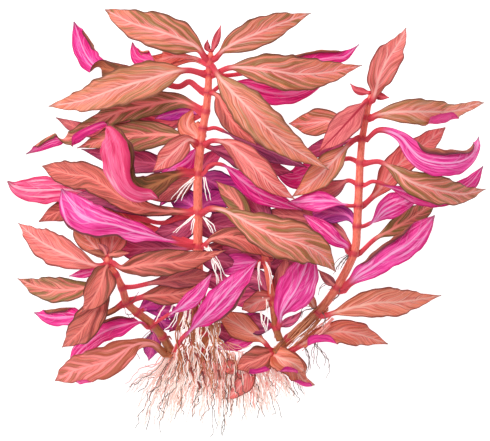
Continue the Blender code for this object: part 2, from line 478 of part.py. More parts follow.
def make_stem(name, stem, group, cutters):
    """One stem as a bevelled curve, made a mesh, with its lesser leaves joined to it."""
    curve = bpy.data.curves.new(name, "CURVE")
    curve.dimensions = "3D"
    curve.bevel_depth = MM
    curve.bevel_resolution = 2
    curve.use_fill_caps = True
    places = stem_rings(stem)
    spline = curve.splines.new("POLY")
    spline.points.add(len(places) - 1)
    for point, ring in zip(spline.points, places):
        point.co = (*to_metres(ring), 1.0)
        point.radius = ring[3]
    guide = bpy.data.objects.new(name + "_curve", curve)
    group.objects.link(guide)
    bpy.context.view_layer.update()
    shaped = guide.evaluated_get(bpy.context.evaluated_depsgraph_get())
    mesh = bpy.data.meshes.new_from_object(shaped)
    bpy.data.objects.remove(guide)
    work = bmesh.new()
    work.from_mesh(mesh)
    bmesh.ops.remove_doubles(work, verts=work.verts, dist=1e-6)
    work.to_mesh(mesh)
    work.free()
    mesh.shade_smooth()
    mesh.set_sharp_from_angle(angle=math.radians(50))
    item = bpy.data.objects.new(name, mesh)
    group.objects.link(item)
    mesh.materials.clear()
    mesh.materials.append(principled(name, STEM_RED, 0.45))
    for leaf in LESSER_LEAVES:
        if leaf.stem == name:
            cutter = make_leaf(leaf, cutters, fused=True)
            cutter.hide_render = True
            cutter.display_type = "WIRE"
            join = item.modifiers.new(leaf.name, "BOOLEAN")
            join.operation = "UNION"
            join.object = cutter
    return item


def make_roots(group):
    """The root mass: a flat ragged fan that lies on the surface, every second lock shorter."""
    top_left, top_right = (np.array(p) for p in ROOT_TOP)
    low_left, low_right = (np.array(p) for p in ROOT_SIDES)
    places = []
    for row in range(ROOT_ROWS + 1):
        down = row / ROOT_ROWS
        for column in range(ROOT_COLUMNS + 1):
            across = column / ROOT_COLUMNS
            top = top_left + (top_right - top_left) * across
            low = low_left + (low_right - low_left) * across
            low = low - np.array((0.0, ROOT_REACH * math.sin(math.pi * across) ** 0.7))
            reach = down * (1.0 - ROOT_NOTCH * (column % 2) * down)
            place = top + (low - top) * reach
            places.append((*place, ROOT_HEIGHT - 0.5 * down))
    item = grid_object("roots", np.array(places), ROOT_COLUMNS + 1, ROOT_THICK, group)
    item.data.materials.append(principled("roots", ROOT_CREAM, 0.7))
    return item


def main():
    """Build every piece of the bunch."""
    clear_scene()
    group = collection("alternanthera")
    cutters = collection("lesser_leaves")
    for name, stem in STEMS.items():
        make_stem(name, stem, group, cutters)
    for leaf in LEAVES:
        make_leaf(leaf, group)
    make_roots(group)


main()
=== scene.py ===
"""Looks for an uprooted alternanthera bunch that lies on its back: leaves, stems, roots, studio.

Places in the tables are millimetres from the middle of the bunch, as in the solids' own source:
+Y runs up the stems, +X to the right, +Z up from the floor. Every mesh is built in metres in the
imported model's frame, with its place in its vertices.
"""

import logging
import math
from dataclasses import dataclass, field
from enum import Enum
from typing import Any

import bpy
import numpy as np
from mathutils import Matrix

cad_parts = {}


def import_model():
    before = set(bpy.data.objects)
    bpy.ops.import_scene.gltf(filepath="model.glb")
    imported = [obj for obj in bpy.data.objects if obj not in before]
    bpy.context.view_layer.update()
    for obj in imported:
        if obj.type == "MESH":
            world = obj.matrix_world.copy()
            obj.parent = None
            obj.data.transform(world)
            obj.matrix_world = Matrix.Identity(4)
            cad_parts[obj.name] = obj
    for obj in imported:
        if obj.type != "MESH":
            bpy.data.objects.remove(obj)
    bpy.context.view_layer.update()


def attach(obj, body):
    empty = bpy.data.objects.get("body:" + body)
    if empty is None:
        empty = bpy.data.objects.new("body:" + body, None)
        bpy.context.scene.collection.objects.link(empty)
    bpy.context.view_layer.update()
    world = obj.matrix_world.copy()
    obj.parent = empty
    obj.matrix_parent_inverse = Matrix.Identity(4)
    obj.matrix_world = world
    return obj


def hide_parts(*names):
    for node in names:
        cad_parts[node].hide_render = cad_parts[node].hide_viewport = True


LOG = logging.getLogger("alternanthera")
MM = 0.001
CENTRE_X = 0.65  # the middle of the bunch's box, which is the origin
CENTRE_Y = -1.75


def to_linear(code: str) -> tuple[float, float, float, float]:
    """Turn an sRGB hex code into a linear colour.

    Args:
        code: six hex digits, with or without a leading #.

    Returns:
        Red, green, blue and an alpha of one, as a socket takes them.
    """
    code = code.lstrip("#")
    parts = [int(code[i:i + 2], 16) / 255 for i in (0, 2, 4)]
    red, green, blue = (p / 12.92 if p <= 0.04045 else ((p + 0.055) / 1.055) ** 2.4 for p in parts)
    return red, green, blue, 1.0


def add_node(tree: bpy.types.NodeTree, kind: str, inputs: dict[Any, Any] | None = None,
             **settings: Any) -> bpy.types.Node:
    """Add a node with its settings, and fill or link its inputs.

    Args:
        tree: the node tree that takes the node.
        kind: the node's type name.
        inputs: socket name or number, with the value or the output socket that goes into it.
        settings: properties of the node itself.

    Returns:
        The new node.
    """
    node = tree.nodes.new(kind)
    for key, value in settings.items():
        setattr(node, key, value)
    for key, value in (inputs or {}).items():
        if isinstance(value, bpy.types.NodeSocket):
            tree.links.new(value, node.inputs[key])
        else:
            node.inputs[key].default_value = value
    return node


def unit(vectors: np.ndarray) -> np.ndarray:
    """The same directions with a length of one, for one vector or for rows of them."""
    return vectors / np.maximum(np.linalg.norm(vectors, axis=-1, keepdims=True), 1e-12)


def smooth_step(value: np.ndarray, low: float, high: float) -> np.ndarray:
    """Ease from 0 at low to 1 at high."""
    share = np.clip((value - low) / (high - low), 0.0, 1.0)
    return share * share * (3 - 2 * share)


def spline(points: np.ndarray, before: np.ndarray, after: np.ndarray, steps: int) -> np.ndarray:
    """A fine Catmull-Rom run through rows of numbers.

    Args:
        points: the rows that the run passes through.
        before: the row ahead of the first one.
        after: the row past the last one.
        steps: how many steps each span is cut into.

    Returns:
        The fine rows, from the first point to the last.
    """
    run = np.vstack([before, points, after])
    u = np.linspace(0, 1, steps, endpoint=False)[:, None]
    spans = [0.5 * (2 * b + (c - a) * u + (2 * a - 5 * b + 4 * c - d) * u**2
                    + (3 * b - a - 3 * c + d) * u**3)
             for a, b, c, d in zip(run, run[1:], run[2:], run[3:])]
    return np.vstack([*spans, run[-2][None]])


def along(fine: np.ndarray) -> np.ndarray:
    """Distance along a run of places, from its first one."""
    return np.concatenate([[0.0], np.cumsum(np.linalg.norm(np.diff(fine[:, :3], axis=0), axis=1))])


def pick(fine: np.ndarray, where: np.ndarray, at: np.ndarray) -> np.ndarray:
    """Rows of a fine run at these distances along it."""
    return np.stack([np.interp(at, where, fine[:, k]) for k in range(fine.shape[1])], axis=1)


def mesh_object(name: str, places: np.ndarray, faces: list[tuple[int, ...]],
                marks: dict[str, np.ndarray], material: bpy.types.Material) -> bpy.types.Object:
    """A smooth mesh object at the origin, with its place in its vertices.

    Args:
        name: the piece's name.
        places: table millimetres, one row a vertex.
        faces: vertex numbers of each face, seen from outside against the clock.
        marks: vector attributes on the vertices, which the finish reads.
        material: the piece's finish.

    Returns:
        The new object, linked to the scene.
    """
    metres = (places - np.array((CENTRE_X, CENTRE_Y, 0.0))) * MM
    metres[:, 2] = np.maximum(metres[:, 2], 0.00006)
    mesh = bpy.data.meshes.new(name)
    mesh.from_pydata(metres.tolist(), [], faces)
    for key, rows in marks.items():
        layer = mesh.attributes.new(key, "FLOAT_VECTOR", "POINT")
        layer.data.foreach_set("vector", rows.astype(np.float32).ravel())
    mesh.shade_smooth()
    mesh.materials.append(material)
    mesh.update()
    item = bpy.data.objects.new(name, mesh)
    bpy.context.scene.collection.objects.link(item)
    return item


@dataclass(frozen=True)
class LeafFinish:
    """A fresh leaf: a thin fleshy blade with a satin skin, coloured by the pigment under it.

    To the eye the top face is a ground colour with streaky darker patches between paler side
    veins and a painted highlight along the midrib, and the underside is a purer pink with long fine lines.
    """

    label: str
    slot: str
    top: str
    # the colour of the painted highlight along the midrib
    glow: str
    patch: str
    line: str
    vein: str
    edge: str
    under: str
    deep: str
    under_vein: str
    patches: float  # how much of the top face the dark patches take, from 0 to 1
    stalk: str = "#DE4656"
    vein_spacing: float = 11.0  # millimetres between side veins
    vein_strength: float = 0.85
    vein_width: float = 0.405  # 0.5 for none, 0.3 for broad ones
    under_veins: float = 0.45
    lens: float = 0.4  # how much the patches keep between the side veins
    margin: float = 0.25  # how much they gather at the edge
    stroke: float = 0.75  # how strongly the fine strokes darken the colour
    roughness: float = 0.5

    def strokes(self, tree: bpy.types.NodeTree, first: Any, second: Any, third: Any,
                sizes: tuple[float, float, float]) -> bpy.types.NodeSocket:
        """Noise drawn out into strokes, spread to use the whole range from 0 to 1.

        Args:
            tree: the material's node tree.
            first: the coordinate across the strokes.
            second: the coordinate along them.
            third: what tells one leaf from the next.
            sizes: how far the noise runs for one unit of each coordinate.

        Returns:
            The socket with the strokes.
        """
        parts = [add_node(tree, "ShaderNodeMath", {0: part, 1: size}, operation="MULTIPLY").outputs[0]
                 for part, size in zip((first, second, third), sizes)]
        place = add_node(tree, "ShaderNodeCombineXYZ", dict(enumerate(parts))).outputs[0]
        noise = add_node(tree, "ShaderNodeTexNoise",
                         {"Vector": place, "Scale": 1.0, "Detail": 3.0, "Roughness": 0.6}).outputs[0]
        return add_node(tree, "ShaderNodeMapRange", {0: noise, 1: 0.33, 2: 0.67}).outputs[0]

    def blend(self, tree: bpy.types.NodeTree, share: Any, first: Any, second: Any
              ) -> bpy.types.NodeSocket:
        """Mix two colours, each a hex code or a socket, by a share that is held from 0 to 1."""
        first, second = (to_linear(c) if isinstance(c, str) else c for c in (first, second))
        return add_node(tree, "ShaderNodeMix", {0: share, 6: first, 7: second},
                        data_type="RGBA", clamp_factor=True).outputs[2]

    def material(self) -> bpy.types.Material:
        """The leaf's node material, made once for each finish."""
        name = "blade_" + self.label
        found = bpy.data.materials.get(name)
        if found:
            return found
        material = bpy.data.materials.new(name)
        material.use_nodes = True
        tree = material.node_tree
        shader = tree.nodes["Principled BSDF"]
        place = add_node(tree, "ShaderNodeAttribute", attribute_name="leaf_place")
        blade = add_node(tree, "ShaderNodeAttribute", attribute_name="leaf_blade")
        run, across, side = add_node(
            tree, "ShaderNodeSeparateXYZ", {0: place.outputs["Vector"]}).outputs
        share, edge, seed = add_node(
            tree, "ShaderNodeSeparateXYZ", {0: blade.outputs["Vector"]}).outputs
        away = add_node(tree, "ShaderNodeMath", {0: across}, operation="ABSOLUTE").outputs[0]
        hand = add_node(tree, "ShaderNodeMath", {0: across}, operation="SIGN").outputs[0]
        lane = add_node(tree, "ShaderNodeMath", {0: edge, 1: hand}, operation="MULTIPLY").outputs[0]

        # Strokes beside the side veins, broader ones, long ones to the tip, and mottling
        hatch = self.strokes(tree, run, away, seed, (1.3, 0.18, 23.0))
        fine = self.strokes(tree, run, away, seed, (0.62, 0.10, 37.0))
        broad = self.strokes(tree, run, away, seed, (0.22, 0.07, 61.0))
        long = self.strokes(tree, lane, share, seed, (6.5, 2.6, 53.0))
        mottle = self.strokes(tree, run, across, seed, (0.07, 0.16, 91.0))

        # Side veins: each is a line on which run is a whole number of spacings
        cells = add_node(tree, "ShaderNodeMath", {0: run, 1: self.vein_spacing},
                         operation="DIVIDE").outputs[0]
        part = add_node(tree, "ShaderNodeMath", {0: cells}, operation="FRACT").outputs[0]
        part = add_node(tree, "ShaderNodeMath", {0: part, 1: 0.5}, operation="SUBTRACT").outputs[0]
        near = add_node(tree, "ShaderNodeMath", {0: part}, operation="ABSOLUTE").outputs[0]
        line = add_node(tree, "ShaderNodeMapRange", {0: near, 1: self.vein_width, 2: self.vein_width + 0.055},
                        interpolation_type="SMOOTHSTEP").outputs[0]
        thin = add_node(tree, "ShaderNodeMapRange", {0: edge, 1: 0.1, 2: 0.95, 3: 1.0, 4: 0.15}
                        ).outputs[0]
        patchy = add_node(tree, "ShaderNodeMapRange", {0: fine, 3: 0.6, 4: 1.0}).outputs[0]
        begin = add_node(tree, "ShaderNodeMapRange", {0: share, 1: 0.0, 2: 0.08}).outputs[0]
        side_vein = line
        for factor in (thin, patchy, begin):
            side_vein = add_node(tree, "ShaderNodeMath", {0: side_vein, 1: factor},
                                 operation="MULTIPLY").outputs[0]

        # Midrib: wide at the stalk and gone at the tip
        rib_width = add_node(tree, "ShaderNodeMapRange", {0: share, 1: 0.0, 2: 1.0, 3: 1.0, 4: 0.3}
                             ).outputs[0]
        rib = add_node(tree, "ShaderNodeMath", {0: away, 1: rib_width}, operation="DIVIDE").outputs[0]
        rib = add_node(tree, "ShaderNodeMapRange", {0: rib, 1: 1.0, 2: 0.3},
                       interpolation_type="SMOOTHSTEP").outputs[0]
        # Painted highlight: a band that is strongest at the midrib and gone halfway to the edge
        highlight_band = add_node(tree, "ShaderNodeMapRange", {0: edge, 1: 0.55, 2: 0.05}).outputs[0]

        # Dark patches: a lens in each cell between two side veins, stronger in some than in others
        index = add_node(tree, "ShaderNodeMath", {0: cells}, operation="FLOOR").outputs[0]
        cell = add_node(tree, "ShaderNodeCombineXYZ", {0: index, 1: hand, 2: seed}).outputs[0]
        chance = add_node(tree, "ShaderNodeTexWhiteNoise", {"Vector": cell},
                          noise_dimensions="3D").outputs[0]
        lens = add_node(tree, "ShaderNodeMapRange", {0: near, 1: 0.42, 2: 0.16},
                        interpolation_type="SMOOTHSTEP").outputs[0]
        inner = add_node(tree, "ShaderNodeMapRange", {0: edge, 1: 0.06, 2: 0.3},
                         interpolation_type="SMOOTHSTEP").outputs[0]
        outer = add_node(tree, "ShaderNodeMapRange", {0: edge, 1: 0.98, 2: 0.66, 3: 0.45, 4: 1.0},
                         interpolation_type="SMOOTHSTEP").outputs[0]
        strong = add_node(tree, "ShaderNodeMapRange", {0: chance, 3: 0.25, 4: 1.0}).outputs[0]
        for factor in (inner, outer, strong):
            lens = add_node(tree, "ShaderNodeMath", {0: lens, 1: factor},
                            operation="MULTIPLY").outputs[0]
        weight = add_node(tree, "ShaderNodeMapRange", {0: share, 1: 0.1, 2: 0.9, 3: 0.2, 4: -0.05}
                          ).outputs[0]
        for source, size in ((lens, self.lens), (broad, 0.3), (fine, 0.14), (edge, self.margin)):
            weight = add_node(tree, "ShaderNodeMath", {0: source, 1: size, 2: weight},
                              operation="MULTIPLY_ADD").outputs[0]
        cut = 1.0 - 0.65 * self.patches
        patch = add_node(tree, "ShaderNodeMapRange", {0: weight, 1: cut - 0.11, 2: cut + 0.11,
                                                      4: 1.0},
                         interpolation_type="SMOOTHSTEP").outputs[0]

        # Painted highlight: the band along the midrib, with random mottle, turns the ground colour paler
        highlight_share = add_node(tree, "ShaderNodeMath", {0: mottle, 1: 0.45, 2: highlight_band},
                       operation="MULTIPLY_ADD").outputs[0]
        top = self.blend(tree, highlight_share, self.top, self.glow)
        top = self.blend(tree, patch, top, self.patch)
        shade = add_node(tree, "ShaderNodeMapRange", {0: fine, 1: 0.52, 2: 0.0, 3: 0.0, 4: self.stroke}
                         ).outputs[0]
        top = self.blend(tree, shade, top, self.line)
        shade = add_node(tree, "ShaderNodeMapRange", {0: long, 1: 0.3, 2: 0.0, 3: 0.0, 4: 0.6}
                         ).outputs[0]
        top = self.blend(tree, shade, top, self.line)
        shade = add_node(tree, "ShaderNodeMapRange", {0: hatch, 1: 0.42, 2: 0.0, 3: 0.0, 4: 0.75}
                         ).outputs[0]
        top = self.blend(tree, shade, top, self.line)
        shade = add_node(tree, "ShaderNodeMapRange", {0: hatch, 1: 0.58, 2: 1.0, 3: 0.0, 4: 0.5}
                         ).outputs[0]
        top = self.blend(tree, shade, top, self.vein)
        light = add_node(tree, "ShaderNodeMapRange", {0: fine, 1: 0.6, 2: 1.0, 3: 0.0, 4: 0.6}
                         ).outputs[0]
        light = add_node(tree, "ShaderNodeMath", {0: light, 1: mottle}, operation="MULTIPLY").outputs[0]
        top = self.blend(tree, light, top, self.vein)
        strength = add_node(tree, "ShaderNodeMath", {0: side_vein, 1: self.vein_strength},
                            operation="MULTIPLY").outputs[0]
        top = self.blend(tree, strength, top, self.vein)
        top = self.blend(tree, rib, top, self.vein)
        rim = add_node(tree, "ShaderNodeMapRange", {0: edge, 1: 0.83, 2: 0.96, 3: 0.0, 4: 0.9},
                       interpolation_type="SMOOTHSTEP").outputs[0]
        top = self.blend(tree, rim, top, self.edge)

        dark = add_node(tree, "ShaderNodeMapRange", {0: long, 1: 0.52, 2: 0.1}).outputs[0]
        streak = add_node(tree, "ShaderNodeMapRange", {0: fine, 1: 0.3, 2: 0.0, 3: 0.0, 4: 0.7}
                          ).outputs[0]
        dark = add_node(tree, "ShaderNodeMath", {0: dark, 1: streak}, operation="MAXIMUM").outputs[0]
        streak = add_node(tree, "ShaderNodeMapRange", {0: hatch, 1: 0.38, 2: 0.0, 3: 0.0, 4: 0.8}
                          ).outputs[0]
        dark = add_node(tree, "ShaderNodeMath", {0: dark, 1: streak}, operation="MAXIMUM").outputs[0]
        dark = add_node(tree, "ShaderNodeMath", {0: mottle, 1: 0.25, 2: dark},
                        operation="MULTIPLY_ADD").outputs[0]
        under = self.blend(tree, dark, self.under, self.deep)
        pale = add_node(tree, "ShaderNodeMapRange", {0: long, 1: 0.62, 2: 0.9, 3: 0.0, 4: 0.9}
                        ).outputs[0]
        faint = add_node(tree, "ShaderNodeMath", {0: side_vein, 1: self.under_veins}, operation="MULTIPLY"
                         ).outputs[0]
        for source in (faint, rib):
            pale = add_node(tree, "ShaderNodeMath", {0: pale, 1: source},
                            operation="MAXIMUM").outputs[0]
        under = self.blend(tree, pale, under, self.under_vein)
        under = self.blend(tree, rim, under, self.deep)

        colour = self.blend(tree, side, top, under)
        stalk = add_node(tree, "ShaderNodeMapRange", {0: share, 1: 0.06, 2: -0.04},
                         interpolation_type="SMOOTHSTEP").outputs[0]
        colour = self.blend(tree, stalk, colour, self.stalk)
        tip = add_node(tree, "ShaderNodeMapRange", {0: share, 1: 0.92, 2: 1.0, 3: 0.0, 4: 0.75}
                       ).outputs[0]
        colour = self.blend(tree, tip, colour, self.edge)
        tree.links.new(colour, shader.inputs["Base Color"])

        # The side veins are sunk in the top face and stand out on the underside
        rise = add_node(tree, "ShaderNodeMapRange", {0: side, 3: -0.8, 4: 0.8}).outputs[0]
        height = add_node(tree, "ShaderNodeMath", {0: line, 1: rise}, operation="MULTIPLY").outputs[0]
        for source, size in ((fine, 0.4), (long, 0.3)):
            height = add_node(tree, "ShaderNodeMath", {0: source, 1: size, 2: height},
                              operation="MULTIPLY_ADD").outputs[0]
        bump = add_node(tree, "ShaderNodeBump", {"Height": height, "Strength": 0.6,
                                                 "Distance": 0.0004})
        tree.links.new(bump.outputs[0], shader.inputs["Normal"])
        shader.inputs["Roughness"].default_value = self.roughness
        shader.inputs["IOR"].default_value = 1.42
        shader.inputs["Specular IOR Level"].default_value = 0.32
        return material


class Look(Enum):
    """The finishes that this plant's leaves come in, from the growing tips to the shaded ones; the darkest are
    partly painted shade.
    """

    # label, slot, top, painted midrib highlight, patch, line, vein, edge, under, deep, under_vein, patches
    VEINED = LeafFinish("veined", "leaf_olive", "#F48660", "#FF867E", "#966C34", "#A84C3C", "#FFBAB0",
                        "#663824", "#FF4498", "#D02074", "#FF8CC0", 0.6, lens=0.55, margin=0.18)
    ORANGE = LeafFinish("orange", "leaf_orange", "#FC9068", "#FF8E84", "#AC7844", "#B45A40",
                        "#FFBEB2", "#7C4630", "#FF4C9C", "#D82C7C", "#FF90C4", 0.48, lens=0.22,
                        margin=0.42, vein_strength=0.7)
    CORAL = LeafFinish("coral", "leaf_coral", "#F8766A", "#FF8684", "#B45846", "#BA3C42",
                       "#FFB0A8", "#803830", "#FF4C96", "#D02874", "#FF98C0", 0.48, lens=0.3)
    NET = LeafFinish("net", "leaf_coral", "#F47A70", "#FF8480", "#BC6244", "#AC4838", "#FF9C98",
                     "#964632", "#FF4498", "#D02074", "#FF8CC0", 0.72, lens=0.75, margin=0.05,
                     stalk="#BC6C48", vein_spacing=13.0, vein_width=0.33)
    CRIMSON_RIB = LeafFinish("crimson_rib", "leaf_coral", "#FF8C88", "#FF8688", "#D86462", "#C84450",
                             "#B8283E", "#94363A", "#F04890", "#B81C68", "#FF88B4", 0.3,
                             vein_strength=0.3, lens=0.3)
    RUST = LeafFinish("rust", "leaf_coral", "#FF8A68", "#FF9484", "#C8643E", "#BC4A40", "#FFBAA8",
                      "#7A3624", "#FF3C9C", "#CC1C78", "#FF88C0", 0.48, lens=0.35)
    BROWN = LeafFinish("brown", "leaf_orange", "#D46654", "#EA7066", "#7C442C", "#8E3034",
                       "#FA9084", "#5A2C1C", "#FF3C98", "#C41C74", "#FF88C0", 0.56, lens=0.3)
    OLIVE = LeafFinish("olive", "leaf_olive", "#D4745A", "#F07E74", "#7A6C32", "#883C32",
                       "#FFA092", "#54381A", "#FF3C98", "#CC1874", "#FF88C0", 0.66, lens=0.35,
                       margin=0.3)
    PINK = LeafFinish("pink", "leaf_pink", "#A45440", "#C0644E", "#6C3A28", "#782C30", "#D07E64",
                      "#66263A", "#FF54AE", "#D41878", "#FFA6D8", 0.5)
    ROSE = LeafFinish("rose", "leaf_pink", "#98583A", "#AC6444", "#5C4020", "#6A3224", "#BC764C",
                      "#6C2C32", "#FF6C9C", "#DC2862", "#FFB8CC", 0.62)
    HOT = LeafFinish("hot", "leaf_pink", "#9A5434", "#B06240", "#604220", "#6A3026", "#C4724E",
                     "#642034", "#FF3A9E", "#C80E6E", "#FF96CC", 0.5)
    MAGENTA = LeafFinish("magenta", "leaf_pink", "#F05088", "#FC6898", "#A83C64", "#9C245A",
                         "#FF80A8", "#5A1838", "#FF48B0", "#D02486", "#FF8CCC", 0.5)
    # PURPLE, DEEP and MAROON: darker finishes for leaves deep in the bunch, partly their own darker colour and
    # partly painted shade for the dark gaps among the leaves
    PURPLE = LeafFinish("purple", "leaf_purple", "#D42CA4", "#E84CB0", "#9C1E80", "#80186E",
                        "#F878C8", "#4C0A48", "#E038B8", "#9C1C88", "#F48CD8", 0.5)
    DEEP = LeafFinish("deep", "leaf_purple", "#B4406E", "#C85074", "#842C52", "#801C48", "#E07094",
                      "#401430", "#C43E88", "#78245C", "#DC74A8", 0.45)
    MAROON = LeafFinish("maroon", "leaf_purple", "#D46870", "#E27874", "#924A54", "#9A3446",
                        "#F48E8A", "#522428", "#B84E84", "#783258", "#D4789E", 0.5)
    BUD = LeafFinish("bud", "leaf_coral", "#D64454", "#E8606A", "#A42838", "#9C2636", "#EE6C76",
                     "#82222E", "#DA3460", "#A01C42", "#F27090", 0.4, stalk="#CE3848")


@dataclass(frozen=True)
class Curl:
    """A stretch of a leaf's edge that is rolled over towards the eye.

    hand is 1 for the right-hand edge and -1 for the left-hand one, as seen from above on the way
    to the tip. start and end are shares of the leaf's length, and widths are how much lies over,
    at even steps from start to end. ease is the share of the stretch in which the roll begins.
    """

    hand: int
    start: float
    end: float
    widths: tuple[float, ...]
    ease: float = 0.28


@dataclass(frozen=True)
class Leaf:
    """A leaf that grows from one joint of a stem; its path's last point is its tip."""

    name: str
    stem: str
    joint: int
    width: float
    stalk: float  # share of the length that is leaf stalk
    widest: float  # share of the blade at which it is widest
    look: Look
    path: tuple[tuple[float, float, float], ...]
    roll: tuple[float, ...]  # degrees, at even steps to the tip; 180 shows the underside
    fold: float  # degrees that each half lifts from the midrib
    curls: tuple[Curl, ...] = ()
    outline: tuple[float, ...] = ()  # shares of the width at even steps, where the form is odd


# Stems as rings from the growing tip down: x, y, z and radius, with a leaf joint at each
STEMS: dict[str, tuple[tuple[float, float, float, float], ...]] = {
    "stem_middle": (
        (-17, 84.5, 47, 1.1), (-17.3, 80.5, 47, 1.5), (-17.6, 77, 46.6, 1.6), (-18, 73, 46, 1.7),
        (-18.5, 64, 45, 1.8), (-19.5, 54.5, 44, 1.9), (-21, 46, 43.5, 1.9), (-22, 38.5, 43, 2),
        (-23.5, 23.5, 42.5, 2.1), (-23.5, 4, 41, 2.2), (-23.5, -12.5, 38, 2.2),
        (-23, -27.5, 32, 2.2), (-21.5, -42, 27, 2.2), (-20.5, -56, 22, 2.3),
        (-20.5, -64, 18.5, 2.3), (-20.5, -71, 16, 2.5),
    ),
    "stem_right": (
        (63, 63.5, 44.5, 1), (62, 59.5, 44, 1.4), (60.5, 51.5, 43, 1.5), (58.5, 40.8, 42, 1.7),
        (57.5, 28.8, 41, 1.8), (57, 17.8, 40, 1.9), (56.5, 7.3, 39, 2), (56, -2.8, 38, 2),
        (54.5, -16.3, 36, 2), (46, -33.3, 32, 2.1), (36.5, -45.8, 28, 2.1), (22, -59.3, 21, 2.2),
        (15, -67, 16.5, 2.4),
    ),
    "stem_left": (
        (-69, -17.5, 44.5, 1), (-68, -21.5, 44, 1.5), (-64.5, -27, 42, 1.6),
        (-61.5, -33.5, 39, 1.8), (-59, -41, 36, 1.9), (-54, -46, 33, 1.9), (-46.5, -52, 29, 2),
        (-41.5, -58, 24.5, 2.1), (-37.5, -65, 18, 2.3),
    ),
    "stem_short": (
        (7, -6, 37, 1), (7.5, -8.5, 37, 1.4), (10.5, -20.8, 34, 1.6), (13.5, -38.8, 31, 1.7),
        (15.5, -53.3, 26.5, 1.8), (17.5, -60, 24.6, 1.8),
    ),
    "stem_creeping": (
        (-39, -67.5, 12, 2.4), (-20.5, -74.5, 10.5, 2.6), (-3, -73.5, 10.5, 2.6),
        (15.5, -70.5, 11, 2.4),
    ),
}

